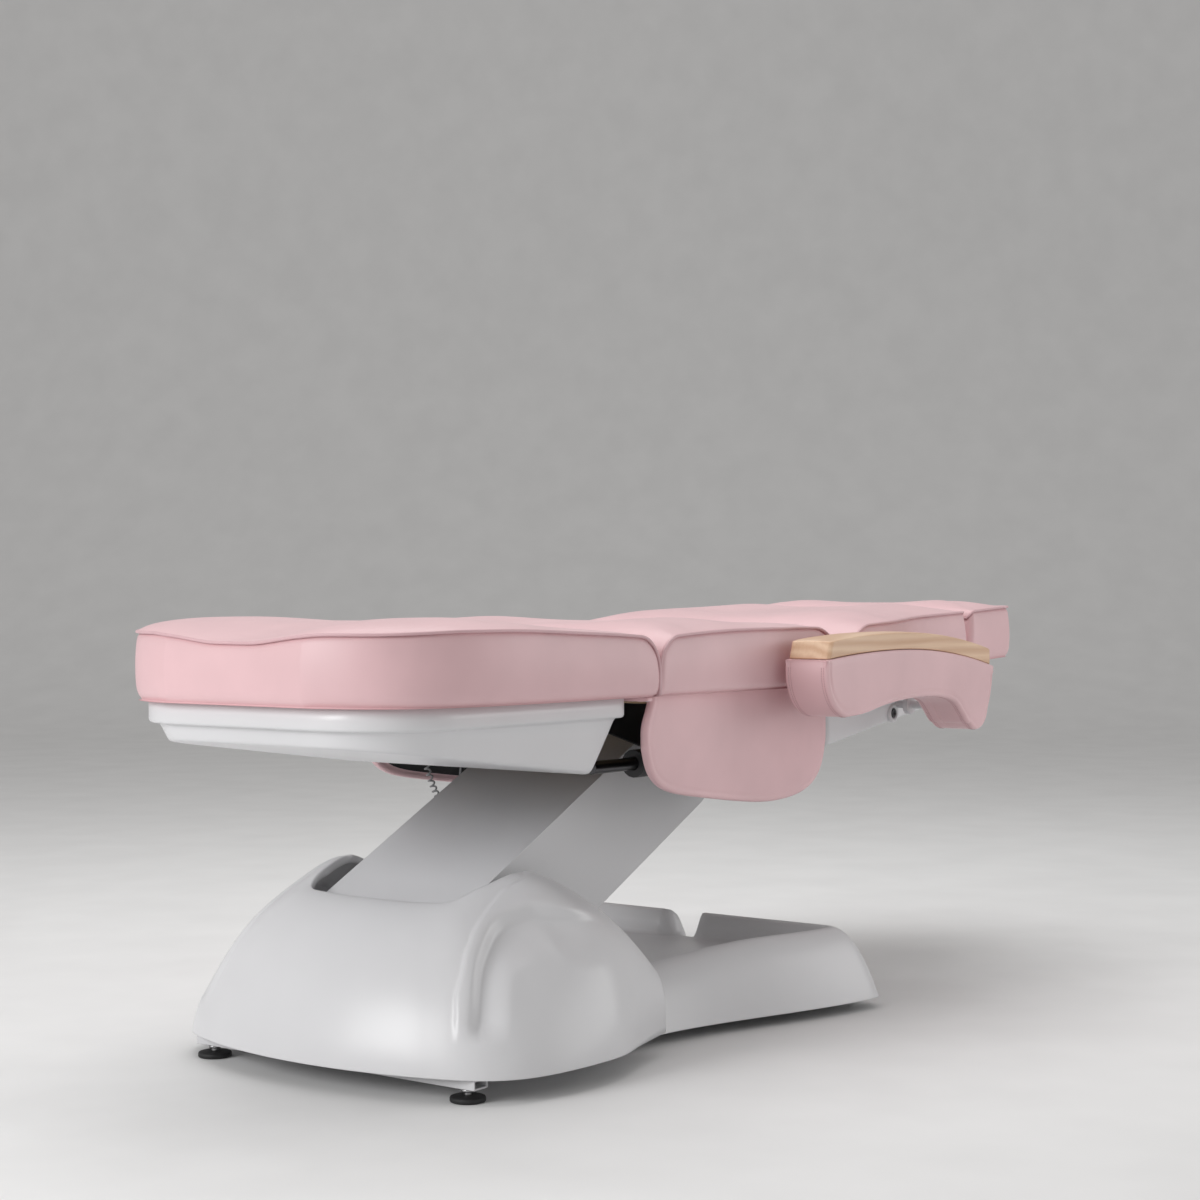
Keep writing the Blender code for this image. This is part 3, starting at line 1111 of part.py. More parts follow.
def add_base_frame(body):
    low, high = FOOT_HEIGHT, FOOT_HEIGHT + TUBE
    for name, x, half, top in (("base_cross_front", FRONT_CROSS_X, FRONT_CROSS_HALF, HUMP_BOTTOM - GAP),
                               ("base_cross_rear", REAR_CROSS_X, REAR_CROSS_HALF, high)):
        tube = add_box(name, (x - TUBE / 2, -half, low), (x + TUBE / 2, half, top), body, "white_steel")
        bore = box_mesh(name + "_bore", (x - TUBE / 2 + COVER_WALL, -half - 0.01, low + COVER_WALL),
                        (x + TUBE / 2 - COVER_WALL, half + 0.01, top - COVER_WALL))
        boolean(tube, cutter(name + "_bore", bore, body))
        for label, side in SIDES.items():
            y = side * (half - FOOT_INSET)
            place = "front" if x == FRONT_CROSS_X else "rear"
            add_levelling_foot(f"levelling_foot_{place}_{label}", x, y, body)
    for label, side in SIDES.items():
        y_range = both_sides(side, BASE_RAIL_Y - TUBE / 2, BASE_RAIL_Y + TUBE / 2)
        add_box(f"base_rail_{label}", (FRONT_CROSS_X + TUBE / 2 + GAP, y_range[0], low),
                (REAR_CROSS_X - TUBE / 2 - GAP, y_range[1], high), body, "white_steel")
        foot = (LIFT_X, FOOT_HEIGHT)
        link = (LIFT_X + LINK_X, LIFT_Z + LINK_Z)
        tower = [(foot[0] + TOWER_LENGTH / 2, low), (foot[0] + TOWER_LENGTH / 2, low + TOWER_SHOULDER)]
        tower += arc((LIFT_X, LIFT_Z), TOWER_TOP_RADIUS, 0.0, math.radians(60), 4)
        tower += arc(link, LINK_PIN + 2 * EYE_WALL, math.radians(40), math.radians(200), 6)
        tower += [(foot[0] - TOWER_LENGTH / 2, low + TOWER_SHOULDER), (foot[0] - TOWER_LENGTH / 2, low)]
        holes = (circle((LIFT_X, LIFT_Z), SHAFT_RADIUS + BORE_CLEARANCE, 16), circle(link, LINK_PIN + BORE_CLEARANCE, 12))
        add_plate(f"lift_tower_{label}", tower, both_sides(side, TOWER_Y, TOWER_Y + PLATE), body,
                  "white_steel", holes)
    plate_half = BASE_RAIL_Y + TUBE / 2
    plate_reach = TOWER_LENGTH / 2 + FLOOR_PLATE_MARGIN
    add_box("floor_plate", (LIFT_X - plate_reach, -plate_half, low - GAP - FLOOR_PLATE),
            (LIFT_X + plate_reach, plate_half, low - GAP), body, "white_steel")
    side_y = BASE_RAIL_Y + TUBE / 2 + GAP
    add_box("control_box", (CONTROL_X, side_y, low), (CONTROL_X + CONTROL_LENGTH, side_y + CONTROL_WIDTH,
                                                      low + CONTROL_HEIGHT), body, "grey_plastic", edge=CONTROL_EDGE)


def add_levelling_foot(name, x, y, body):
    foot = piece(name, cylinder_mesh(name, (x, y, 0.0), (x, y, FOOT_DISC), FOOT_RADIUS, 20), body, "black_rubber")
    stem = cylinder_mesh(name + "_stem", (x, y, FOOT_DISC / 2), (x, y, FOOT_HEIGHT - GAP), FOOT_STEM, 12)
    boolean(foot, cutter(name + "_stem", stem, body), "UNION")
    return foot


def skin(name, rows, wall, body, levels):
    """Half shell from rows of points that start on Y = 0 or run along it, mirrored and thickened."""
    bm = bmesh.new()
    grid = [[bm.verts.new(point) for point in row] for row in rows]
    for first, second in zip(grid, grid[1:]):
        for i in range(len(first) - 1):
            bm.faces.new((first[i], first[i + 1], second[i + 1], second[i]))
    obj = piece(name, mesh_from(name, bm), body, "white_plastic")
    mirror = obj.modifiers.new("other_half", "MIRROR")
    mirror.use_axis = (False, True, False)
    mirror.merge_threshold = 0.0001
    if levels:
        subdivide = obj.modifiers.new("smooth", "SUBSURF")
        subdivide.levels = levels
        subdivide.render_levels = levels
    shell = obj.modifiers.new("wall", "SOLIDIFY")
    shell.thickness = wall
    shell.offset = -1.0
    return obj


def add_front_cover(body):
    """Domed skirt round the foot of the arm; each row runs from the mouth's lip down to the hem."""
    shoulder_x = (HUMP_PEAK_X + HUMP_END) / 2
    hem = [(NOSE_X, 0.0), (NOSE_X + 0.007, 0.100), (NOSE_X + 0.030, 0.205), (NOSE_X + 0.070, 0.290),
           (NOSE_X + 0.145, HUMP_HALF_WIDTH - 0.010), (HUMP_PEAK_X, HUMP_HALF_WIDTH),
           (shoulder_x, (HUMP_HALF_WIDTH + WAIST_HALF_WIDTH) / 2), (HUMP_END, WAIST_HALF_WIDTH)]
    mouth = [(MOUTH_FRONT, 0.0), (MOUTH_FRONT, 0.075), (MOUTH_FRONT + 0.002, 0.140),
             (MOUTH_FRONT + 0.017, MOUTH_HALF_WIDTH - 0.008), (MOUTH_FRONT + 0.072, MOUTH_HALF_WIDTH),
             (HUMP_PEAK_X, MOUTH_HALF_WIDTH + 0.003), (shoulder_x, MOUTH_HALF_WIDTH + 0.008),
             (HUMP_END, MOUTH_HALF_WIDTH + 0.020)]
    drops = (0.023, 0.023, 0.021, 0.016, 0.008, 0.0, 0.055, HUMP_TOP - TAIL_TOP)
    bulges = (1.25, 1.25, 1.25, 1.30, 1.40, 1.70, 2.20, 3.50)
    rows = []
    for (hx, hy), (mx, my), drop, bulge in zip(hem, mouth, drops, bulges):
        top = HUMP_TOP - drop
        row = [(mx, my, top - MOUTH_LIP)]
        for i in range(6):
            t = i / 5 * math.pi / 2
            out = math.sin(t) ** (2 / bulge)
            height = (top - HUMP_BOTTOM) * max(0.0, math.cos(t)) ** (2 / bulge)
            row.append((mx + (hx - mx) * out, my + (hy - my) * out, HUMP_BOTTOM + height))
        rows.append(row)
    return skin("base_front_cover", rows, COVER_WALL, body, 1)


def add_rear_cover(body):
    """Low cover behind the arm: a tongue, then side ridges that wrap round the rear in two lobes."""
    run = LOBE_START - HUMP_END
    lobe_steps = [(LOBE_START + LOBE_RUN * part, 1.0) for part in (-0.5, -0.17, 0.17, 0.5)]
    steps = [(REAR_START, 0.0), (HUMP_END + RUNNING_GAP, 0.0), (HUMP_END + 2 * RUNNING_GAP, 1.0),
             (HUMP_END + 0.27 * run, 1.0), (HUMP_END + 0.62 * run, 1.0), (HUMP_END + 0.84 * run, 1.0),
             *lobe_steps, (REAR_END - 0.050, 1.0),
             (REAR_END - 0.024, 0.90), (REAR_END - 0.008, 0.62), (REAR_END, 0.20), (REAR_END + 0.001, 0.0)]
    tongue = BASE_RAIL_Y + TUBE / 2
    rail_top = FOOT_HEIGHT + TUBE + 2 * GAP
    rows = []
    for index, (x, scale) in enumerate(steps):
        flare = smoothstep(x, HUMP_END, REAR_END)
        outer = REAR_WAIST + (REAR_HALF_WIDTH - REAR_WAIST) * flare
        rise = smoothstep(x, HUMP_END, HUMP_END + 0.73 * run)
        ridge = PLATEAU_Z + RIDGE_START_RISE + (RIDGE_Z - PLATEAU_Z - RIDGE_START_RISE) * rise
        if index < 2:
            section = [(0.0, PLATEAU_Z), (0.06, PLATEAU_Z), (0.10, PLATEAU_Z), (0.125, PLATEAU_Z),
                       (tongue - 0.020, PLATEAU_Z - 0.004), (tongue - 0.006, PLATEAU_Z - 0.014),
                       (tongue, PLATEAU_Z - 0.022), (tongue, PLATEAU_Z - 0.030), (tongue, rail_top)]
        else:
            lobes = smoothstep(x, LOBE_START - LOBE_RUN / 2, LOBE_START + LOBE_RUN / 2)
            inner = (outer - RIDGE_WIDTH) * (1.0 - lobes) + (NOTCH_HALF + NOTCH_ROUND) * lobes
            section = [(0.0, PLATEAU_Z), (inner * 0.5, PLATEAU_Z), (inner - RIDGE_INNER_SLOPE, PLATEAU_Z),
                       (inner, PLATEAU_Z + 0.45 * (ridge - PLATEAU_Z)),
                       (inner + RIDGE_INNER_ROUND, ridge - RIDGE_CREST_DROP),
                       (outer - RIDGE_SHOULDER, ridge),
                       (outer - RIDGE_OUTER_ROUND, ridge - RIDGE_OUTER_DROP),
                       (outer - SKIRT_INSET, ridge * 0.5),
                       (outer, REAR_BOTTOM)]
        fade = scale if index >= 2 else 1.0
        rows.append([(x, y, REAR_BOTTOM + (z - REAR_BOTTOM) * fade) for y, z in section])
    rows.reverse()
    cover = skin("base_rear_cover", rows, COVER_WALL, body, 0)
    length, width, height = INLET_SIZE
    low = (REAR_END - INLET_DEPTH, -width / 2, INLET_Z - height / 2)
    high = (low[0] + length, width / 2, INLET_Z + height / 2)
    hole = box_mesh("inlet_hole", [c - GAP for c in low], [c + GAP for c in high])
    boolean(cover, cutter("inlet_hole", hole, body))
    add_box("power_inlet", low, high, body, "black_rubber", edge=INLET_EDGE)


def bezier(p0, p1, p2, p3, t):
    s = 1.0 - t
    return p0 * s ** 3 + p1 * (3 * s * s * t) + p2 * (3 * s * t * t) + p3 * t ** 3


def lead_points():
    """Curls hanging from the gland, then plain cable in a loop up to the back actuator's motor."""
    start = Vector((GLAND_X, GLAND_Y, BOARD_BOTTOM - 2 * GAP - GLAND_LENGTH))
    low = Vector(LEAD_LOW)
    motor_x = BACK_TUBE_FRONT - BACK_TUBE_LENGTH - ACTUATOR_MOTOR_LENGTH
    end = Vector((motor_x + 0.040, SIDE_ACTUATOR_Y, back_pin()[1] - ACTUATOR_TUBE - MOTOR_DROP - GAP))
    points = [start, start - Vector((0.0, 0.0, 4 * LEAD_RADIUS))]
    hang = (points[1], points[1] - Vector((0.0, 0.0, 0.060)), low + Vector((-0.034, 0.0, 0.030)), low)
    total = CURLS * CURL_POINTS
    for i in range(1, total):
        t = i / total
        centre = bezier(*hang, t)
        along = (bezier(*hang, t + 0.01) - centre).normalized()
        side = along.cross(Vector((0.0, 1.0, 0.0))).normalized()
        turn = math.tau * i / CURL_POINTS
        reach = CURL_RADIUS * min(1.0, i / CURL_POINTS, (total - i) / CURL_POINTS)
        points.append(centre + side * (reach * math.cos(turn)) + along.cross(side) * (reach * math.sin(turn)))
    loop = (low, low + Vector((0.030, 0.0, -0.026)), end - Vector((0.0, 0.0, 0.070)), end)
    points.extend(bezier(*loop, i / LOOP_POINTS) for i in range(LOOP_POINTS + 1))
    return points


def least_gap(points, radius, skip):
    """Smallest clear distance between stretches of a tube that lie more than skip points apart."""
    nearest = min((points[i] - points[j]).length for i in range(len(points)) for j in range(i + skip, len(points)))
    return nearest - 2 * radius


def add_curly_lead(body):
    top = BOARD_BOTTOM - GAP
    add_cylinder("lead_gland", (GLAND_X, GLAND_Y, top - GLAND_LENGTH), (GLAND_X, GLAND_Y, top), GLAND_RADIUS,
                 body, "grey_plastic", 12)
    points = lead_points()
    print("least gap of the lead to itself, mm:", round(1000 * least_gap(points, LEAD_RADIUS, CURL_POINTS // 2), 2))
    curve = bpy.data.curves.new("curly_lead", "CURVE")
    curve.dimensions = "3D"
    curve.bevel_depth = LEAD_RADIUS
    curve.bevel_resolution = 1
    curve.use_fill_caps = True
    spline = curve.splines.new("POLY")
    spline.points.add(len(points) - 1)
    for point, place in zip(spline.points, points):
        point.co = (*place, 1.0)
    return piece("curly_lead", curve, body, "grey_plastic")


def build():
    assembly = Body("bed", (0.0, 0.0, 0.0))
    base = assembly
    arm = Body("lift_axis", (LIFT_X, 0.0, LIFT_Z), base)
    link = Body("link_axis", (LIFT_X + LINK_X, 0.0, LIFT_Z + LINK_Z), base)
    seat = Body("carriage_axis", (CARRIAGE_X, 0.0, CARRIAGE_Z), arm)
    leg = Body("leg_axis", (LEG_AXIS_X, 0.0, LEG_AXIS_Z), seat)
    back = Body("hip_axis", (HIP_X, 0.0, HIP_AXIS_Z), seat, BACK_TILT)
    head = Body("head_axis", (HEAD_AXIS_X, 0.0, HEAD_AXIS_Z), back)
    lift_rod = Body("lift_rod_axis", (LIFT_X, 0.0, FOOT_HEIGHT + TUBE), base)
    leg_rod = Body("leg_rod_axis", (LEG_AXIS_X, 0.0, LEG_AXIS_Z), seat)
    back_rod = Body("back_rod_axis", (HIP_X, 0.0, HIP_AXIS_Z), seat)
    add_base_frame(base)
    add_front_cover(base)
    add_rear_cover(base)
    add_lift_arm(arm)
    add_parallel_link(link)
    add_carriage(seat)
    add_seat_frame(seat)
    add_seat_cushion(seat)
    add_curly_lead(seat)
    add_leg_section(leg)
    add_back_section(back)
    add_head_section(head)
    add_lift_drive(base, lift_rod)
    add_leg_drive(seat, leg_rod)
    add_back_drive(seat, back_rod)
    for label, side in SIDES.items():
        add_side_flap(f"side_flap_{label}", side, seat)
        armrest = Body(f"armrest_axis_{label}", (ARMREST_PIVOT_X, 0.0, ARMREST_PIVOT_Z), seat)
        add_armrest(label, side, armrest)
    return assembly


def centre_on_floor(assembly):
    """Move the assembly empty so that the middle of the bed's length is over the origin."""
    bpy.context.view_layer.update()
    graph = bpy.context.evaluated_depsgraph_get()
    xs = []
    for obj in PARTS.objects:
        if obj.type == "EMPTY":
            continue
        mesh = obj.evaluated_get(graph).to_mesh()
        xs.extend((obj.matrix_world @ vert.co).x for vert in mesh.vertices)
        obj.evaluated_get(graph).to_mesh_clear()
    assembly.empty.location.x = -(min(xs) + max(xs)) / 2


clear_scene()
PARTS = new_collection("treatment_bed")
CUTTERS = new_collection("treatment_bed_cutters")
MATERIALS = make_materials()
BED = build()
centre_on_floor(BED)
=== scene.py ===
"""Electric treatment bed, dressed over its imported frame.

Metres, +Z up. Shapes are drawn in bed coordinates, with X running from the foot end of the leg
cushion towards the head, and moved into the frame when they are made.
"""

import json
import math

import bmesh
import bpy
import numpy as np
from mathutils import Matrix, Vector, noise


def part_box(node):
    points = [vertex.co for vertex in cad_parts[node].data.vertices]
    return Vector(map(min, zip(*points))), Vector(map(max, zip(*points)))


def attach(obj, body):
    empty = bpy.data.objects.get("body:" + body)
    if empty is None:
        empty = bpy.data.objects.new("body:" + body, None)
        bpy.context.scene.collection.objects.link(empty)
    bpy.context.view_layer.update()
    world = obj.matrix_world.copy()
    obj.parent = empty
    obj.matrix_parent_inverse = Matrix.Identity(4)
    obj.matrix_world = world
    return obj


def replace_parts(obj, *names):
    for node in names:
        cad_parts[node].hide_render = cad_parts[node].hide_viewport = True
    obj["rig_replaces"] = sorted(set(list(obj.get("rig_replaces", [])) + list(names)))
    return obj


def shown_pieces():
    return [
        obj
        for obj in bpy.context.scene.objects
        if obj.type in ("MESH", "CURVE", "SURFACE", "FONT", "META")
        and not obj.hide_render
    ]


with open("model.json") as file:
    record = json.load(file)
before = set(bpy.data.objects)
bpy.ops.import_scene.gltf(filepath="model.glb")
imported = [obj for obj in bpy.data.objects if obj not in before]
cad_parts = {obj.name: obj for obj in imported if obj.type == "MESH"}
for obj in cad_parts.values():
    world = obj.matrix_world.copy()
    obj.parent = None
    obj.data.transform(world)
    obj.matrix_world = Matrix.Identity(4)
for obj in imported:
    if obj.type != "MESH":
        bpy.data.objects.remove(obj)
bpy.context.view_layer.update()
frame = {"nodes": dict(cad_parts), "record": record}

# Where the bed stands in the frame
FOOT_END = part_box("leg_cushion")[0].x
NODE_BODY = {node: body for body, nodes in frame["record"]["behaviour"]["bodies"].items() for node in nodes}
SIDES = {"left": -1, "right": 1}
UP = (0.0, 0.0, 1.0)
REARWARD = (1.0, 0.0, 0.0)

# Camera and lights: place, target, size, power
CAMERA_PLACE = (-2.9967, -2.1433, 0.6845)
CAMERA_HEADING = -53.666
CAMERA_LENS = 64.95
LIGHTS = {
    "key": ((-4.3, 0.9, 1.7), (-0.5, 0.0, 0.40), 1.8, 82.0),
    "overhead": ((0.2, 0.5, 3.4), (0.0, 0.0, 0.4), 2.8, 58.0),
    "fill": ((2.4, -2.8, 1.2), (0.2, -0.2, 0.45), 1.8, 24.0),
}
WORLD_COLOUR = (1.0, 0.985, 0.97, 1.0)
WORLD_STRENGTH = 0.44

# Cushions
HALF_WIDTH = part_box("seat_cushion")[1].y
CUSHION_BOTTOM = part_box("seat_cushion")[0].z
CUSHION_THICKNESS = 0.102
CROWN = 0.013
LEG_CROWN = 0.011
MIDDLE_HOLLOW = 0.60
LEG_ARCH = 0.004
KNEE_DROOP = 0.011
DROOP_RUN = 0.30
LEG_LENGTH = 0.5750
SEAT_START = 0.5775
SEAT_END = 1.1155
HIP_X = 1.1200
BACK_START = 1.1245
BACK_END = 1.6725
HEAD_START = 1.6780
HEAD_END = 1.8545
HEAD_HALF_WIDTH = 0.265
FOOT_PLAN = ((0.0, 0.131), (0.003, 0.148), (0.011, 0.176), (0.025, 0.211), (0.048, 0.244), (0.082, 0.271),
             (0.130, 0.292), (0.193, 0.304), (0.271, 0.309), (0.360, 0.310), (0.575, 0.310))
FOOT_CORNER = 0.200
FOOT_SCOOP = 0.013
KNEE_ROUND = 0.048
HIP_ROUND = 0.092
PLAN_CORNER = 0.014
NECK_CHAMFER = 0.0125
NECK_RUN = 0.03
NECK_ROUND = 0.013
SHOULDER_START = 0.150
SHOULDER_END = 0.390
BACK_TILT = math.radians(2.5)
HIP_AXIS_Z = 0.575
SEAM_DIP = 0.005
SEAM_FADE = 0.014
SIDE_SWELL = 0.0045
PANEL_INSET = 0.0025
HEM_INSET = 0.007
HEM_SHARE = 0.16
WELT_GROOVE = 0.0034
GROOVE_REACH = 0.0042
WELT_RADIUS = 0.0023
WELT_SINK = 0.0012
WELT_LIFT = 0.0008
PUCKER = 0.0016
PUCKER_SCALE = 64.0
PUCKER_REACH = 0.020
PUCKER_CLEAR = 0.005
TOP_WAVE = 0.0010
HIP_CREASE = 0.0008
PADDING_CAP = 0.0045
PADDING_PRESSURE = 4.0
PADDING_FRAMES = 20
GRID = 0.011
UPWARD = [0.0, 0.03, 0.08, 0.16, 0.26, 0.38, 0.5, 0.62, 0.74, 0.84, 0.91, 0.95, 0.975, 0.99, 1.0]

# Moulded trays; the hull's last rings are (share of the depth, share of the fillet)
BOARD_TOP = CUSHION_BOTTOM - 0.0003
TRAY_HALF_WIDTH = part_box("leg_tray")[1].y
TRAY_WALL = 0.003
TRAY_BAND = 0.031
TRAY_STEP = 0.014
TRAY_EDGE = 0.0012
TRAY_SIDE_SLOPE = 0.012
TRAY_FILLET = 0.012
TRAY_ROUNDING = ((0.93, 0.06), (0.97, 0.20), (0.99, 0.45), (1.0, 0.80), (1.0, 1.2), (1.0, 3.0))
TRAY_SMALLEST_CORNER = 0.006
PLATE_TOE = 0.374

# Armrests, measured from a point under the arch
ARMREST_ORIGIN = (1.363, 0.485)
ARMREST_INNER = 0.330
ARMREST_OUTER = 0.415
ARMREST_MIDDLE = (ARMREST_INNER + ARMREST_OUTER) / 2
ARMREST_HALF = (ARMREST_OUTER - ARMREST_INNER) / 2
ARMREST_RISE = 0.1165
ARMREST_PEAK = -0.223
ARMREST_FRONT = -0.470
ARMREST_HEEL = 0.107
ARMREST_EDGE = 0.006
ARMREST_PUFF = 0.0025
FACE_SEAM = 0.0085
GUSSET_SEAM = 0.0035
TOE_SEAM = -0.38
CAP_INSET = 0.004
CAP_THICKNESS = 0.028
CAP_NOSE_LEAN = 0.010
CAP_CHAMFER = 0.0055
CAP_END_GAP = 0.003

# Side flaps
FLAP_START = 0.570
FLAP_END = 1.100
FLAP_DEPTH = 0.183
FLAP_FRONT_RISE = 0.14
FLAP_FACE = 0.2888
FLAP_THICKNESS = 0.016
FLAP_ROUND = 4.5
FLAP_WRAP = 0.010
FLAP_LINING = 0.013
FLAP_CURL = 0.018

# Base covers
HUMP_BOTTOM = 0.034
HUMP_TOP = 0.286
MOUTH_LIP = 0.011
RIM_ROLL = 0.004
COVER_WALL = 0.003
# Front cover's rows: hem x and y, mouth x and y, drop below the hump's top, roundness
COVER_ROWS = [
    (0.130, 0.000, 0.287, 0.000, 0.037, 1.58),
    (0.137, 0.100, 0.287, 0.045, 0.037, 1.58),
    (0.160, 0.205, 0.289, 0.090, 0.036, 1.56),
    (0.200, 0.290, 0.299, 0.135, 0.032, 1.50),
    (0.275, 0.332, 0.350, 0.158, 0.012, 1.40),
    (0.420, 0.342, 0.425, 0.170, 0.001, 1.65),
    (0.5175, 0.317, 0.520, 0.176, 0.045, 2.20),
    (0.615, 0.292, 0.615, 0.188, 0.140, 3.50),
]
# Rolled band on the hump's flank, x and z: its outer edge, and its inner edge with the hollow behind it
BAND_OUTER = ((0.180, 0.075), (0.187, 0.098), (0.193, 0.115), (0.207, 0.1465), (0.234, 0.186), (0.252, 0.2055),
              (0.2736, 0.224), (0.311, 0.247), (0.3545, 0.268), (0.389, 0.279), (0.420, 0.286))
BAND_INNER = ((0.188, 0.075), (0.192, 0.088), (0.198, 0.107), (0.2074, 0.128), (0.223, 0.157), (0.2426, 0.184),
              (0.2646, 0.205), (0.2904, 0.224), (0.3156, 0.2363), (0.3414, 0.2437), (0.3583, 0.2468),
              (0.3748, 0.2475), (0.4076, 0.2402), (0.4735, 0.2261), (0.530, 0.205))
HOLLOW_DEPTH = 0.013
BAND_RISE = 0.0032
REAR_BOTTOM = 0.018
PLATEAU = 0.092
RIDGE = 0.137
RIDGE_START = 0.115
RIDGE_RUN = 0.338
RIDGE_WIDTH = 0.085
HUMP_END = 0.615
REAR_START = 0.592
REAR_END = 1.165
REAR_WAIST = 0.250
REAR_HALF_WIDTH = 0.368
REAR_ROUND = 0.075
REAR_CORNER = 4.0
REAR_FALL = 2.3
LOBE_FRONT = 1.080
LOBE_ROUND = 0.036
NOTCH_HALF = 0.017

# Curly lead under the seat
LEAD_START = (0.618, 0.200, 0.5121)
LEAD_LOW = (0.672, 0.197, 0.345)
LEAD_END = (0.722, 0.199, 0.4391)
LEAD_RADIUS = 0.0016
CURL_RADIUS = 0.0042
CURLS = 16
CURL_POINTS = 16
LOOP_POINTS = 24

# Turned pieces: (radius, distance along the axis); the disc's radii are shares of its foot's
FOOT_DISC = ((0.90, 0.0), (0.97, 0.0006), (1.0, 0.0018), (1.0, 0.0056), (0.97, 0.0072), (0.88, 0.0080),
             (0.60, 0.0086), (0.42, 0.0094))
FOOT_THREAD = [(0.0052 if i % 2 else 0.0044, 0.0092 + 0.0007 * i) for i in range(13)]
FOOT_NUT = ((0.0090, 0.0132), (0.0098, 0.0138), (0.0098, 0.0172), (0.0090, 0.0178))
BOSS_PLACE = (1.4010, 0.2445, 0.4800)
BOSS_RING = ((0.0165, -0.006), (0.0175, 0.004), (0.0170, 0.0065), (0.0150, 0.0078), (0.0125, 0.0078),
             (0.0105, 0.0066), (0.0100, 0.0040))
BOSS_BOLT = ((0.0090, 0.0030), (0.0090, 0.0062), (0.0080, 0.0070), (0.0040, 0.0070), (0.0036, 0.0048))
INLET_PIN = ((0.0011, -0.004), (0.0011, 0.0006), (0.0007, 0.0010))
INLET_PIN_PLACES = ((-0.007, -0.002), (0.0, 0.004), (0.007, -0.002))
INLET_SCREW = ((0.0030, -0.003), (0.0030, 0.0003), (0.0022, 0.0011), (0.0009, 0.0013))
INLET_SCREW_REACH = 0.019
SHAFT_WASHERS = {"leg_hinge_shaft": 0.0105, "hip_hinge_shaft": 0.0070, "head_hinge_shaft": 0.0105}
WASHER_THICKNESS = 0.0016
BOLT_HEIGHT = 0.009


def in_frame(points):
    return [(x + FOOT_END, y, z) for x, y, z in points]


def middle_of(node):
    """Middle of a node's box, in bed coordinates."""
    low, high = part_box(node)
    return [(a + b) / 2 - shift for a, b, shift in zip(low, high, (FOOT_END, 0.0, 0.0))]


def smoothstep(value, start, end):
    t = min(1.0, max(0.0, (value - start) / (end - start)))
    return t * t * (3.0 - 2.0 * t)


def quarter_drop(distance, radius):
    """How far a rounded edge lies below its flat at a distance from the end."""
    if distance >= radius:
        return 0.0
    return radius - math.sqrt(max(0.0, radius ** 2 - (radius - distance) ** 2))


def hill(offset, width):
    """Bell curve, 1 at no offset."""
    return math.exp(-(offset / width) ** 2)


def even(start, end, step):
    count = max(2, round(abs(end - start) / step))
    return [start + (end - start) * i / count for i in range(count + 1)]


def through(points, per_span):
    """Smooth open curve through the given points, as an array."""
    p = np.asarray(points, float)
    padded = np.vstack([2 * p[0] - p[1], p, 2 * p[-1] - p[-2]])
    rows = []
    for a, b, c, d in zip(padded, padded[1:], padded[2:], padded[3:]):
        for t in np.arange(per_span) / per_span:
            bend = 2 * b + (c - a) * t + (2 * a - 5 * b + 4 * c - d) * t ** 2 + (3 * b - a - 3 * c + d) * t ** 3
            rows.append(bend / 2)
    rows.append(p[-1])
    return np.array(rows)


def arc(centre, radius, start, end, steps):
    angles = [math.radians(start + (end - start) * i / steps) for i in range(steps + 1)]
    return [(centre[0] + radius * math.cos(a), centre[1] + radius * math.sin(a)) for a in angles]


def signed_distance(outline):
    """Distance from an open outline of straight pieces, positive on the left of its direction."""
    points = np.asarray(outline, float)
    start, run = points[:-1], np.diff(points, axis=0)
    length = (run ** 2).sum(axis=1)

    def distance(x, z):
        part = np.clip((((x, z) - start) * run).sum(axis=1) / length, 0.0, 1.0)
        away = (x, z) - start - run * part[:, None]
        nearest = (away ** 2).sum(axis=1).argmin()
        side = run[nearest][0] * away[nearest][1] - run[nearest][1] * away[nearest][0]
        return math.copysign(math.hypot(*away[nearest]), side)

    return distance


def hip_turn(points):
    """Back and head lie tilted up about the hip."""
    turn = Matrix.Rotation(-BACK_TILT, 3, "Y")
    hip = Vector((HIP_X, 0.0, HIP_AXIS_Z))
    return [tuple(turn @ (Vector(point) - hip) + hip) for point in points]


# Objects


def add_object(name, data):
    obj = bpy.data.objects.new(name, data)
    bpy.context.scene.collection.objects.link(obj)
    return obj


def add_mesh(name, points, faces):
    mesh = bpy.data.meshes.new(name)
    mesh.from_pydata(in_frame(points), [], faces)
    bm = bmesh.new()
    bm.from_mesh(mesh)
    bmesh.ops.recalc_face_normals(bm, faces=bm.faces)
    bm.to_mesh(mesh)
    bm.free()
    mesh.shade_smooth()
    return add_object(name, mesh)


def settle_modifiers(obj):
    """Turn the modifiers into plain mesh."""
    graph = bpy.context.evaluated_depsgraph_get()
    mesh = bpy.data.meshes.new_from_object(obj.evaluated_get(graph))
    obj.modifiers.clear()
    obj.data = mesh


def shaped(obj, kind, **settings):
    """Run one modifier and keep the result as plain mesh."""
    modifier = obj.modifiers.new("shape", kind)
    for key, value in settings.items():
        setattr(modifier, key, value)
    settle_modifiers(obj)


def subdivided(obj):
    shaped(obj, "SUBSURF", levels=1, render_levels=1, boundary_smooth="PRESERVE_CORNERS")


def bevelled(obj, width, segments, angle):
    shaped(obj, "BEVEL", width=width, segments=segments, limit_method="ANGLE", angle_limit=math.radians(angle),
           harden_normals=True)


def walled(obj, thickness):
    shaped(obj, "SOLIDIFY", thickness=thickness, offset=-1.0)


def worn_by(obj, body, slot, *nodes, material=None):
    """Give a finished piece its material, the body it rides on and the nodes it stands for."""
    obj.data.materials.clear()
    obj.data.materials.append(SLOT_MATERIAL[slot] if material is None else material)
    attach(obj, body)
    if nodes:
        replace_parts(obj, *nodes)
    return obj


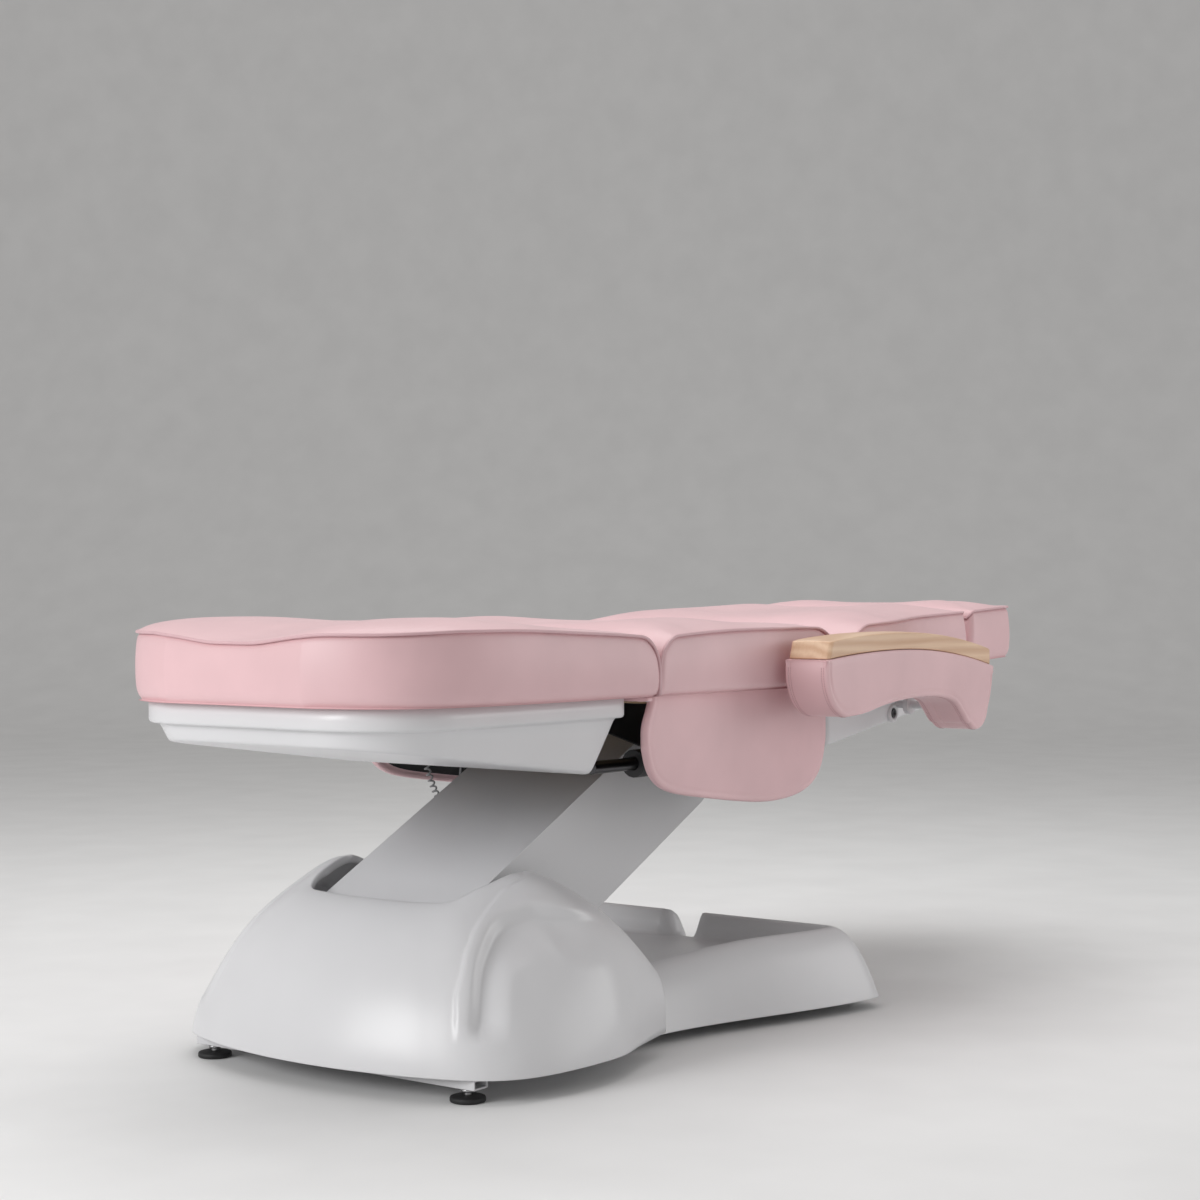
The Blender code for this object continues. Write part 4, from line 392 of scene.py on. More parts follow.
def block(name, columns, across, upward, shape, turn=None):
    """Closed box of quads whose surface lattice is moved to shape(x, v, w), with its lattice keys."""
    counts = [len(values) for values in (columns, across, upward)]
    index = {}
    points = []

    def corner(key):
        if key not in index:
            index[key] = len(points)
            points.append(shape(columns[key[0]], across[key[1]], upward[key[2]]))
        return index[key]

    faces = []
    for axis in range(3):
        first, second = [n for n in range(3) if n != axis]
        for end in (0, counts[axis] - 1):
            for p in range(counts[first] - 1):
                for q in range(counts[second] - 1):
                    quad = []
                    for dp, dq in ((0, 0), (1, 0), (1, 1), (0, 1)):
                        key = [end, end, end]
                        key[first] = p + dp
                        key[second] = q + dq
                        quad.append(corner(tuple(key)))
                    faces.append(quad)
    if turn:
        points = turn(points)
    return add_mesh(name, points, faces), list(index)


def ring(centre, one, two, radius, sides):
    """Points of a circle in the plane of two unit vectors."""
    angles = [math.tau * k / sides for k in range(sides)]
    return [centre + one * (radius * math.cos(a)) + two * (radius * math.sin(a)) for a in angles]


def ring_faces(rings, sides, closed=False, first_cap=True):
    """Quads from each ring of points to the next; open runs are capped."""
    faces = []
    for r in range(rings if closed else rings - 1):
        here, there = r * sides, (r + 1) % rings * sides
        for k in range(sides):
            m = (k + 1) % sides
            faces.append((here + k, here + m, there + m, there + k))
    if not closed:
        if first_cap:
            faces.append(tuple(range(sides))[::-1])
        faces.append(tuple(range((rings - 1) * sides, rings * sides)))
    return faces


def grid_faces(rows, columns):
    return [(r * columns + c, r * columns + c + 1, (r + 1) * columns + c + 1, (r + 1) * columns + c)
            for r in range(rows - 1) for c in range(columns - 1)]


def add_tube(name, path, radius, closed, sides=8):
    """Round tube along a path, with its rings turned as little as possible."""
    path = [Vector(p) for p in path]
    count = len(path)
    points = []
    normal = None
    for i, place in enumerate(path):
        before = path[i - 1] if closed or i else path[0]
        after = path[(i + 1) % count] if closed or i < count - 1 else path[-1]
        along = (after - before).normalized()
        if normal is None:
            normal = along.orthogonal()
        normal = (normal - along * normal.dot(along)).normalized()
        points += ring(place, normal, along.cross(normal), radius, sides)
    return add_mesh(name, points, ring_faces(count, sides, closed))


def turned(name, profile, centre, axis, body, slot, *nodes, sides=40):
    """Lathe piece; profile holds (radius, distance along the axis) pairs."""
    along = Vector(axis)
    one = along.orthogonal().normalized()
    points = []
    for radius, reach in profile:
        points += ring(Vector(centre) + along * reach, one, along.cross(one), radius, sides)
    worn_by(add_mesh(name, points, ring_faces(len(profile), sides)), body, slot, *nodes)


# Materials


def feed(tree, node, inputs):
    """Link each named input to a socket, or give it a plain value."""
    for key, value in inputs.items():
        if isinstance(value, bpy.types.NodeSocket):
            tree.links.new(value, node.inputs[key])
        else:
            node.inputs[key].default_value = value


def add_node(tree, kind, inputs=None, **settings):
    node = tree.nodes.new(kind)
    for key, value in settings.items():
        setattr(node, key, value)
    feed(tree, node, inputs or {})
    return node


def new_material(name):
    material = bpy.data.materials.new(name)
    material.use_nodes = True
    tree = material.node_tree
    return material, tree, tree.nodes["Principled BSDF"]


def texture(tree, kind, output, inputs, stretch=(1.0, 1.0, 1.0), shift=(0.0, 0.0, 0.0), **settings):
    """Output of a procedural texture on the object's own coordinates."""
    place = add_node(tree, "ShaderNodeTexCoord").outputs["Object"]
    mapping = add_node(tree, "ShaderNodeMapping", {"Vector": place, "Location": shift, "Scale": stretch})
    return add_node(tree, kind, {"Vector": mapping.outputs["Vector"], **inputs}, **settings).outputs[output]


def clouds(tree, scale, detail, stretch=(1.0, 1.0, 1.0)):
    return texture(tree, "ShaderNodeTexNoise", "Fac", {"Scale": scale, "Detail": detail}, stretch)


def ramp(tree, source, stops):
    node = add_node(tree, "ShaderNodeValToRGB", {"Fac": source})
    while len(node.color_ramp.elements) < len(stops):
        node.color_ramp.elements.new(0.5)
    for element, (position, colour) in zip(node.color_ramp.elements, stops):
        element.position = position
        element.color = (*colour, 1.0)
    return node.outputs["Color"]


def mottled(tree, source, colour, low, high):
    """The colour, a little darker and lighter with the source."""
    shades = [tuple(min(1.0, c * factor) for c in colour) for factor in (low, high)]
    return ramp(tree, source, list(zip((0.3, 0.7), shades)))


def value_range(tree, source, low, high):
    node = add_node(tree, "ShaderNodeMapRange", {"Value": source, "To Min": low, "To Max": high})
    return node.outputs["Result"]


def bump(tree, heights, strength, distance):
    """Normal from the sum of several heights."""
    total = heights[0]
    for height in heights[1:]:
        total = add_node(tree, "ShaderNodeMath", {0: total, 1: height}, operation="ADD").outputs[0]
    node = add_node(tree, "ShaderNodeBump", {"Strength": strength, "Distance": distance, "Height": total})
    return node.outputs["Normal"]


def leather_material(name, colour):
    material, tree, shader = new_material(name)
    pebble = texture(tree, "ShaderNodeTexVoronoi", "Distance", {"Scale": 900.0})
    feed(tree, shader, {
        "Base Color": mottled(tree, clouds(tree, 7.0, 3.0), colour, 0.95, 1.04),
        "Normal": bump(tree, [pebble, clouds(tree, 420.0, 4.0)], 0.16, 0.0004),
        "Roughness": value_range(tree, clouds(tree, 26.0, 2.0), 0.36, 0.46),
        "Specular IOR Level": 0.45,
        "Sheen Weight": 0.06,
    })
    return material


def moulded_material(name, colour, grain, roughness, strength):
    """Moulded plastic, powder coat, cloth or rubber: an even colour with a fine grain."""
    material, tree, shader = new_material(name)
    fine = clouds(tree, grain, 3.0)
    feed(tree, shader, {
        "Base Color": mottled(tree, clouds(tree, 5.0, 2.0), colour, 0.975, 1.02),
        "Normal": bump(tree, [fine], strength, 0.0003),
        "Roughness": value_range(tree, fine, roughness - 0.05, roughness + 0.05),
    })
    return material


def steel_material(name, colour):
    material, tree, shader = new_material(name)
    brushed = clouds(tree, 60.0, 3.0, (1.0, 0.05, 1.0))
    feed(tree, shader, {
        "Base Color": mottled(tree, brushed, colour, 0.88, 1.05),
        "Roughness": value_range(tree, brushed, 0.24, 0.38),
        "Metallic": 1.0,
    })
    return material


def wood_material(name, dark, light, heart=(0.0, 0.0)):
    """Growth rings round a line along X at heart (y, z), so that ends show arcs and flanks long grain."""
    material, tree, shader = new_material(name)
    total = texture(tree, "ShaderNodeTexWave", "Fac",
                    {"Scale": 17.0, "Distortion": 2.6, "Detail": 3.0, "Detail Scale": 1.3},
                    (0.16, 1.0, 1.0), (0.0, -heart[0], -heart[1]), wave_type="RINGS", rings_direction="X")
    warp = clouds(tree, 5.0, 2.0, (0.5, 3.0, 3.0))
    pores = clouds(tree, 260.0, 3.0, (0.03, 1.0, 1.0))
    for source, share in ((warp, 0.50), (pores, 0.30)):
        blend = add_node(tree, "ShaderNodeMix", {"Factor": share, "A": total, "B": source}, data_type="FLOAT")
        total = blend.outputs["Result"]
    middle = tuple((a + b) / 2 for a, b in zip(dark, light))
    feed(tree, shader, {
        "Base Color": ramp(tree, total, [(0.22, dark), (0.5, middle), (0.75, light)]),
        "Normal": bump(tree, [pores], 0.10, 0.0003),
        "Roughness": value_range(tree, pores, 0.32, 0.44),
    })
    return material


# Welt cord in the cushions' leatherette, made a little darker: the darkening is painted shade for the dark line in
# the groove under the welt
PIPING_PAINTED_SHADE = leather_material("leatherette_piping", (0.66, 0.430, 0.455))
THREAD = moulded_material("pink_thread", (0.56, 0.34, 0.365), 2600.0, 0.60, 0.20)
WHITE_STEEL = moulded_material("white_powder_coat", (0.64, 0.64, 0.655), 800.0, 0.34, 0.10)
WOODS = {
    flank: wood_material(f"oiled_wood_{flank}", (0.60, 0.365, 0.225), (0.79, 0.565, 0.395), (sign * 0.352, 0.480))
    for flank, sign in SIDES.items()
}
LINING_CLOTH = moulded_material("black_lining_cloth", (0.016, 0.016, 0.017), 1800.0, 0.80, 0.25)
DRIVE_HOUSING = moulded_material("drive_housing", (0.030, 0.030, 0.032), 1300.0, 0.48, 0.10)
DARK_STEEL = steel_material("dark_steel", (0.10, 0.10, 0.105))
SLOT_MATERIAL = {
    "leatherette": leather_material("leatherette", (0.745, 0.495, 0.517)),
    "white_plastic": moulded_material("white_plastic", (0.68, 0.68, 0.695), 1500.0, 0.31, 0.05),
    "white_steel": WHITE_STEEL,
    "black_steel": moulded_material("black_powder_coat", (0.018, 0.018, 0.020), 900.0, 0.46, 0.14),
    "bare_steel": steel_material("bare_steel", (0.56, 0.56, 0.57)),
    "plywood": wood_material("plywood", (0.40, 0.27, 0.16), (0.58, 0.43, 0.28)),
    "black_rubber": moulded_material("black_rubber", (0.012, 0.012, 0.013), 700.0, 0.62, 0.16),
    "grey_plastic": moulded_material("grey_plastic", (0.30, 0.30, 0.31), 1300.0, 0.46, 0.08),
}
NODE_MATERIAL = {
    "leg_actuator": DRIVE_HOUSING,
    "back_actuator": DRIVE_HOUSING,
    "leg_rod": DARK_STEEL,
    "back_rod": DARK_STEEL,
    "armrest_shaft": WHITE_STEEL,
}


# Camera


def add_camera():
    """Where the photograph was taken from, level, a little above the cushions."""
    camera = bpy.data.cameras.new("camera")
    camera.sensor_width = 36.0
    camera.lens = CAMERA_LENS
    camera.clip_end = 60.0
    obj = add_object("camera", camera)
    obj.location = CAMERA_PLACE
    obj.rotation_euler = (math.radians(90.0), 0.0, math.radians(CAMERA_HEADING))
    bpy.context.scene.camera = obj


# Curly lead


def bezier(p0, p1, p2, p3, t):
    s = 1.0 - t
    return p0 * s ** 3 + p1 * (3 * s * s * t) + p2 * (3 * s * t * t) + p3 * t ** 3


def lead_points():
    """Curls hanging from the gland, then plain cable in a loop up to the back drive's motor."""
    start, low, end = Vector(LEAD_START), Vector(LEAD_LOW), Vector(LEAD_END)
    points = [start, start - Vector((0.0, 0.0, 4 * LEAD_RADIUS))]
    hang = (points[1], points[1] - Vector((0.0, 0.0, 0.060)), low + Vector((-0.034, 0.0, 0.030)), low)
    total = CURLS * CURL_POINTS
    for i in range(1, total):
        t = i / total
        centre = bezier(*hang, t)
        along = (bezier(*hang, t + 0.01) - centre).normalized()
        side = along.cross(Vector((0.0, 1.0, 0.0))).normalized()
        turn = math.tau * i / CURL_POINTS
        reach = CURL_RADIUS * min(1.0, i / CURL_POINTS, (total - i) / CURL_POINTS)
        points.append(centre + side * (reach * math.cos(turn)) + along.cross(side) * (reach * math.sin(turn)))
    loop = (low, low + Vector((0.030, 0.0, -0.026)), end - Vector((0.0, 0.0, 0.070)), end)
    points.extend(bezier(*loop, i / LOOP_POINTS) for i in range(LOOP_POINTS + 1))
    return points


def add_curly_lead():
    points = [Vector(p) for p in in_frame(lead_points())]
    curve = bpy.data.curves.new("curly_lead_cable", "CURVE")
    curve.dimensions = "3D"
    curve.bevel_depth = LEAD_RADIUS
    curve.bevel_resolution = 3
    curve.use_fill_caps = True
    spline = curve.splines.new("POLY")
    spline.points.add(len(points) - 1)
    for point, place in zip(spline.points, points):
        point.co = (*place, 1.0)
    spline.use_smooth = True
    lead = worn_by(add_object("curly_lead_cable", curve), "seat", "grey_plastic", "curly_lead")
    length = sum((b - a).length for a, b in zip(points, points[1:]))
    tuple(points[0])


# Stitches, staples and bolts by geometry nodes


def geometry_tree(name, sizes):
    """Geometry tree with named sizes and a finish for inputs."""
    tree = bpy.data.node_groups.new(name, "GeometryNodeTree")
    for label, kind in [("Geometry", "Geometry")] + [(size, "Float") for size in sizes] + [("Finish", "Material")]:
        tree.interface.new_socket(label, in_out="INPUT", socket_type="NodeSocket" + kind)
    tree.interface.new_socket("Geometry", in_out="OUTPUT", socket_type="NodeSocketGeometry")
    return tree, tree.nodes.new("NodeGroupInput").outputs


def spread_on(tree, given, carrier, shape, rotation, scale=(1.0, 1.0, 1.0)):
    """Set a shape on every point of the carrier, made real and given its finish."""
    spread = add_node(tree, "GeometryNodeInstanceOnPoints",
                      {"Points": carrier, "Instance": shape, "Rotation": rotation, "Scale": scale})
    real = add_node(tree, "GeometryNodeRealizeInstances", {"Geometry": spread.outputs["Instances"]})
    finish = add_node(tree, "GeometryNodeSetMaterial",
                      {"Geometry": real.outputs["Geometry"], "Material": given["Finish"]})
    add_node(tree, "NodeGroupOutput", {"Geometry": finish.outputs["Geometry"]})
    return tree


def stitch_tree():
    """Short round stitches at an even pitch along the edges of a seam path."""
    tree, given = geometry_tree("stitches_along_seam", ("Pitch", "Half Length", "Radius"))
    seam = add_node(tree, "GeometryNodeMeshToCurve", {"Mesh": given["Geometry"]})
    spaced = add_node(tree, "GeometryNodeResampleCurve", {"Curve": seam.outputs["Curve"], "Length": given["Pitch"]},
                      mode="LENGTH")
    tangent = add_node(tree, "GeometryNodeInputTangent")
    turn = add_node(tree, "FunctionNodeAlignRotationToVector", {"Vector": tangent.outputs["Tangent"]}, axis="Z")
    thread = add_node(tree, "GeometryNodeMeshUVSphere", {"Segments": 6, "Rings": 4})
    size = add_node(tree, "ShaderNodeCombineXYZ",
                    {"X": given["Radius"], "Y": given["Radius"], "Z": given["Half Length"]})
    return spread_on(tree, given, spaced.outputs["Curve"], thread.outputs["Mesh"], turn.outputs["Rotation"],
                     size.outputs["Vector"])


def bolt_tree():
    """Washer with a hexagon head on every point, facing out from the middle plane."""
    tree, given = geometry_tree("bolt_heads", ("Washer Radius", "Head Radius", "Head Height"))
    washer = add_node(tree, "GeometryNodeMeshCylinder",
                      {"Vertices": 20, "Radius": given["Washer Radius"], "Depth": WASHER_THICKNESS})
    head = add_node(tree, "GeometryNodeMeshCylinder",
                    {"Vertices": 6, "Radius": given["Head Radius"], "Depth": given["Head Height"]})
    half = add_node(tree, "ShaderNodeMath", {0: given["Head Height"], 1: 0.5}, operation="MULTIPLY")
    lift = add_node(tree, "ShaderNodeCombineXYZ", {"Z": half.outputs[0]})
    move = add_node(tree, "GeometryNodeTransform",
                    {"Geometry": head.outputs["Mesh"], "Translation": lift.outputs["Vector"]})
    both = add_node(tree, "GeometryNodeJoinGeometry", {"Geometry": washer.outputs["Mesh"]})
    feed(tree, both, {"Geometry": move.outputs["Geometry"]})
    place = add_node(tree, "GeometryNodeInputPosition")
    parts = add_node(tree, "ShaderNodeSeparateXYZ", {"Vector": place.outputs["Position"]})
    side = add_node(tree, "ShaderNodeMath", {0: parts.outputs["Y"]}, operation="SIGN")
    quarter = add_node(tree, "ShaderNodeMath", {0: side.outputs[0], 1: -math.pi / 2}, operation="MULTIPLY")
    turn = add_node(tree, "ShaderNodeCombineXYZ", {"X": quarter.outputs[0]})
    return spread_on(tree, given, given["Geometry"], both.outputs["Geometry"], turn.outputs["Vector"])


STITCHES = stitch_tree()
BOLT_HEADS = bolt_tree()


def repeated(name, tree, points, edges, body, slot, finish, **sizes):
    """Run a tree on a mesh of points or edges and keep the result as plain mesh."""
    mesh = bpy.data.meshes.new(name)
    mesh.from_pydata(in_frame(points), edges, [])
    obj = add_object(name, mesh)
    modifier = obj.modifiers.new("repeat", "NODES")
    modifier.node_group = tree
    given = {"finish": finish, **sizes}
    for item in tree.interface.items_tree:
        if item.in_out == "INPUT" and item.socket_type != "NodeSocketGeometry":
            modifier[item.identifier] = given[item.name.lower().replace(" ", "_")]
    settle_modifiers(obj)
    worn_by(obj, body, slot, material=finish)


def stitched(name, paths, body, slot, finish, pitch, half_length, radius):
    points, edges = [], []
    for path in paths:
        edges.extend((len(points) + i, len(points) + i + 1) for i in range(len(path) - 1))
        points.extend(path)
    repeated(name, STITCHES, points, edges, body, slot, finish, pitch=pitch, half_length=half_length, radius=radius)


# Cushions


def ripple(x, y, z, scale):
    return noise.noise(Vector((x, y, z)) * scale)


def panel_offset(w, from_seam, along, gather):
    """How far a side panel stands out: tucked hem, soft bulge, groove under the welt, gathers by the seam."""
    hem = HEM_INSET * (1.0 - min(1.0, w / HEM_SHARE)) ** 2
    bulge = SIDE_SWELL * max(0.0, math.sin(math.pi * w)) ** 0.8
    groove = WELT_GROOVE * hill(from_seam, GROOVE_REACH)
    near = math.exp(-from_seam / PUCKER_REACH) * (1.0 - math.exp(-from_seam / PUCKER_CLEAR))
    pucker = PUCKER * gather * ripple(along, 0.0, 0.0, PUCKER_SCALE) * near
    return bulge - hem - groove + pucker - PANEL_INSET


def seam_pull(*distances):
    """1 on the nearest seam, fading with the distances from it."""
    away = 1.0
    for distance in distances:
        away *= 1.0 - math.exp(-max(0.0, distance) / SEAM_FADE)
    return 1.0 - away


def crown_across(v):
    """Crown across the width: full near the sides, a little lower along the middle."""
    return (1.0 - v ** 6) * (1.0 - MIDDLE_HOLLOW * (1.0 - smoothstep(abs(v), 0.15, 0.65)))


def cushion_shape(ends, sewn, half_width, drop, crown, lean):
    """Shape function of a cushion; sewn says at which ends the top seam runs across."""
    start, end = ends

    def shape(x, v, w, proud=None):
        half = half_width(x)
        y = v * half
        spans = [(1.0 - abs(v)) * half] + [abs(x - e) for e, held in zip(ends, sewn) if held]
        height = CUSHION_THICKNESS - drop(x, y) + crown(x) * crown_across(v) - SEAM_DIP * seam_pull(*spans)
        if w == 1.0:
            near_hip = smoothstep(x, 0.80, 0.98) * smoothstep(1.62 - x, 0.0, 0.25)
            height += TOP_WAVE * ripple(x, y, 0.0, 6.0) + HIP_CREASE * near_hip * ripple(x, y, 3.0, 30.0)
        slope = (half_width(min(end, x + 0.001)) - half_width(max(start, x - 0.001))) / 0.002
        from_seam = min([(1.0 - w) * height] + [abs(x - e) for e, held in zip(ends, sewn) if not held])
        gather = 1.0 + 1.6 * (1.0 - smoothstep(abs(x - 0.10), 0.02, 0.10))
        out = panel_offset(w, from_seam, x + 0.9 * half, gather) if proud is None else proud
        px = x - lean(x) * w
        if abs(v) == 1.0:
            turn = math.hypot(1.0, slope)
            px -= out * slope / turn
            y += v * out / turn
        elif sewn[0] and x == start:
            px -= out
        elif sewn[1] and x == end:
            px += out
        return (px, y, CUSHION_BOTTOM + w * height)

    return shape


def rounded_stations(start, end, start_round, end_round, steps=9):
    """Columns that lie closer together where an end is rounded."""
    turn = [1.0 - math.cos(math.pi / 2 * i / steps) for i in range(steps)]
    return ([start + start_round * t for t in turn] + even(start + start_round, end - end_round, GRID)
            + [end - end_round * t for t in reversed(turn)])


def across_stations(half_width):
    edge = [1.0 - inset / half_width for inset in (0.0, 0.003, 0.007)]
    inner = even(-1.0 + 0.013 / half_width, 1.0 - 0.013 / half_width, GRID / half_width)
    return [-e for e in edge] + inner + edge[::-1]


def welt_paths(shape, columns, across, sewn):
    """Paths of the welt cord: along the top edges, across sewn ends and down the other ends' edges."""
    near = [shape(x, -1.0, 1.0, -WELT_SINK) for x in columns]
    if not sewn[0]:
        near = [shape(columns[0], -1.0, w, -WELT_SINK) for w in UPWARD[1:-1]] + near
    if not sewn[1]:
        near = near + [shape(columns[-1], -1.0, w, -WELT_SINK) for w in UPWARD[-2:0:-1]]
    far = [(x, -y, z) for x, y, z in near]
    first, last = [[shape(x, v, 1.0, -WELT_SINK) for v in across[1:-1]] for x in (columns[0], columns[-1])]
    if sewn[0] and sewn[1]:
        return [(near + last + far[::-1] + first[::-1], True)]
    if sewn[0]:
        return [(near[::-1] + first + far, False)]
    if sewn[1]:
        return [(near + last + far[::-1], False)]
    return [(near, False), (far, False)]


def fill_out(obj, held):
    """Let the cover swell under air pressure between its held seams; no point moves further than the cap."""
    group = obj.vertex_groups.new(name="held")
    group.add(held, 1.0, "REPLACE")
    cloth = obj.modifiers.new("padding", "CLOTH")
    cloth.settings.vertex_group_mass = group.name
    cloth.settings.use_pressure = True
    cloth.settings.uniform_pressure_force = PADDING_PRESSURE
    cloth.settings.effector_weights.gravity = 0.0
    cloth.point_cache.frame_end = PADDING_FRAMES
    scene = bpy.context.scene
    for step in range(1, PADDING_FRAMES + 1):
        scene.frame_set(step)
    swollen = obj.evaluated_get(bpy.context.evaluated_depsgraph_get()).to_mesh()
    moved = [v.co.copy() for v in swollen.vertices]
    for vertex, place in zip(obj.data.vertices, moved):
        shift = place - vertex.co
        if shift.length > 1e-7:
            vertex.co += shift.normalized() * (PADDING_CAP * (1.0 - math.exp(-shift.length / PADDING_CAP)))
    obj.modifiers.clear()
    obj.vertex_groups.clear()
    scene.frame_set(1)


def add_cushion(name, body, columns, half_width, drop, crown, sewn, lean=lambda x: 0.0, turn=None):
    shape = cushion_shape((columns[0], columns[-1]), sewn, half_width, drop, crown, lean)
    across = across_stations(HALF_WIDTH)
    obj, keys = block(name + "_cover", columns, across, UPWARD, shape, turn)
    held = []
    for index, (a, b, c) in enumerate(keys):
        top = c == len(UPWARD) - 1 and 2 < b < len(across) - 3 and 2 < a < len(columns) - 3
        side = b in (0, len(across) - 1) and 2 < c < len(UPWARD) - 4 and 3 < a < len(columns) - 4
        if not (top or side):
            held.append(index)
    fill_out(obj, held)
    subdivided(obj)
    worn_by(obj, body, "leatherette", name)
    for index, (path, closed) in enumerate(welt_paths(shape, columns, across, sewn)):
        path = [(x, y, z + WELT_LIFT) for x, y, z in path]
        if turn:
            path = turn(path)
        if not closed:
            path = through(path, 2)
        welt = add_tube(f"{name}_piping_{index + 1}", path, WELT_RADIUS, closed)
        # The welt is real leatherette; its darker tone is painted shade of the groove beneath it
        worn_by(welt, body, "leatherette", material=PIPING_PAINTED_SHADE)


PLAN_CURVE = through(FOOT_PLAN, 12)


def leg_half_width(x):
    return float(np.interp(x, PLAN_CURVE[:, 0], PLAN_CURVE[:, 1]))


def droop(from_knee):
    """Gentle fall of the top towards the knee."""
    return KNEE_DROOP * max(0.0, 1.0 - from_knee / DROOP_RUN) ** 2


def leg_drop(x, y):
    scoop = FOOT_SCOOP * (1.0 - smoothstep(abs(y), 0.03, 0.17)) * (1.0 - smoothstep(x, 0.0, 0.15))
    arch = LEG_ARCH * smoothstep(x, 0.02, 0.14) * smoothstep(0.42 - x, 0.0, 0.20)
    return quarter_drop(LEG_LENGTH - x, KNEE_ROUND) + droop(LEG_LENGTH - x) + scoop - arch


def seat_drop(x, _):
    return quarter_drop(x - SEAT_START, KNEE_ROUND) + droop(x - SEAT_START) + quarter_drop(SEAT_END - x, HIP_ROUND)


def back_drop(x, _):
    return quarter_drop(x - BACK_START, HIP_ROUND) + quarter_drop(BACK_END - x, NECK_ROUND)


def head_drop(x, _):
    return quarter_drop(x - HEAD_START, NECK_ROUND)


def back_half_width(x):
    narrowing = smoothstep(x, HIP_X + SHOULDER_START, HIP_X + SHOULDER_END)
    return HALF_WIDTH - (HALF_WIDTH - HEAD_HALF_WIDTH) * narrowing - quarter_drop(BACK_END - x, PLAN_CORNER)


def head_half_width(x):
    return HEAD_HALF_WIDTH - quarter_drop(min(x - HEAD_START, HEAD_END - x), PLAN_CORNER)


def swell(x, start, start_run, end, end_run, crown=CROWN):
    return crown * smoothstep(x, start, start + start_run) * smoothstep(end - x, 0.0, end_run)


def neck_lean(from_neck):
    return NECK_CHAMFER * (1.0 - smoothstep(from_neck, 0.0, NECK_RUN))


def add_cushions():
    add_cushion("leg_cushion", "leg", rounded_stations(0.0, LEG_LENGTH, FOOT_CORNER, KNEE_ROUND, 14), leg_half_width,
                leg_drop, lambda x: swell(x, -0.02, 0.09, 0.46, 0.24, LEG_CROWN), (True, False))
    add_cushion("seat_cushion", "seat", rounded_stations(SEAT_START, SEAT_END, KNEE_ROUND, HIP_ROUND),
                lambda x: HALF_WIDTH, seat_drop,
                lambda x: swell(x, SEAT_START, 0.09, SEAT_END - 0.18, 0.17), (False, False))
    add_cushion("back_cushion", "back", rounded_stations(BACK_START, BACK_END, HIP_ROUND, PLAN_CORNER),
                back_half_width, back_drop,
                lambda x: swell(x, BACK_START + 0.04, 0.12, BACK_END, 0.12), (False, True),
                lambda x: neck_lean(BACK_END - x), hip_turn)
    add_cushion("head_cushion", "head", rounded_stations(HEAD_START, HEAD_END, PLAN_CORNER, PLAN_CORNER),
                head_half_width, head_drop,
                lambda x: swell(x, HEAD_START, 0.09, HEAD_END, 0.09), (True, True),
                lambda x: -neck_lean(x - HEAD_START), hip_turn)


def add_knee_tuck():
    """Cover turned under the leg cushion's knee end and stapled there."""
    low, high = CUSHION_BOTTOM - 0.0075, CUSHION_BOTTOM - 0.0004
    obj, _ = block("leg_cushion_tuck", even(LEG_LENGTH - 0.0155, LEG_LENGTH - 0.0015, 0.003),
                   even(-HALF_WIDTH + 0.012, HALF_WIDTH - 0.012, 0.006), [0.0, 0.5, 1.0],
                   lambda x, y, w: (x, y, low + (high - low) * w + 0.0012 * (1.0 - w) * ripple(x, y, 0.0, 120.0)))
    subdivided(obj)
    worn_by(obj, "leg", "leatherette")
    path = [(LEG_LENGTH - 0.008, y, low - 0.0003) for y in even(-HALF_WIDTH + 0.018, HALF_WIDTH - 0.018, 0.02)]
    stitched("leg_cushion_staples", [path], "leg", "bare_steel", SLOT_MATERIAL["bare_steel"], 0.014, 0.0045, 0.0006)


# Side flaps


def add_side_flap(label, side):
    """Padded panel hanging from the seat, its edge wrapped and sewn all round but the top, and its lining."""
    middle, reach = (FLAP_START + FLAP_END) / 2, (FLAP_END - FLAP_START) / 2
    columns = [0.6 * math.sin(math.pi / 2 * u) + 0.4 * u for u in even(-1.0, 1.0, 2.0 / 72)]
    top = CUSHION_BOTTOM - 0.0006
    hem = FLAP_LINING / FLAP_DEPTH

    def hang(u):
        depth = FLAP_DEPTH * (1.0 - FLAP_FRONT_RISE * smoothstep(-u, -0.40, 0.75))
        return depth * max(0.04, 1.0 - abs(u) ** FLAP_ROUND) ** (1.0 / FLAP_ROUND)

    def curl(u, w):
        return FLAP_CURL * (1.0 - smoothstep(u, -1.0, -0.55)) * smoothstep(w, 0.35, 1.0)

    rim = [(middle + reach * u, top - hang(u)) for u in columns]
    from_rim = signed_distance([(rim[0][0], top)] + rim + [(rim[-1][0], top)])

    def cover_shape(u, v, w):
        x, z = middle + reach * u, top - hang(u) * (1.0 - w)
        gap = abs(from_rim(x, z))
        inset = quarter_drop(gap, 0.005) + 0.0012 * hill(gap - FLAP_WRAP, 0.0018) + 0.0010 * math.exp(-gap / 0.030)
        y = FLAP_FACE - FLAP_THICKNESS / 2 + v * (FLAP_THICKNESS / 2 - min(inset, 0.0062))
        return (x + curl(u, w), side * y, z)

    def lining_shape(u, v, w):
        drop = hang(u) * (1.0 - hem) * (1.0 - w) + 0.014 * w
        y = FLAP_FACE - FLAP_THICKNESS + 0.0004 + 0.0007 * v
        return (middle + (reach - FLAP_LINING) * u + curl(u, w), side * y, top - drop)

    upward = [0.5 - 0.5 * math.cos(math.pi * i / 44) for i in range(45)]
    cover, _ = block(f"side_flap_{label}_cover", columns, [-1.0, -0.5, 0.0, 0.5, 1.0], upward, cover_shape)
    subdivided(cover)
    worn_by(cover, "seat", "leatherette", f"side_flap_{label}")
    lining, _ = block(f"side_flap_{label}_lining", columns[::2], [-1.0, 1.0], [0.0, 0.5, 1.0], lining_shape)
    worn_by(lining, "seat", "leatherette", material=LINING_CLOTH)


# Moulded trays


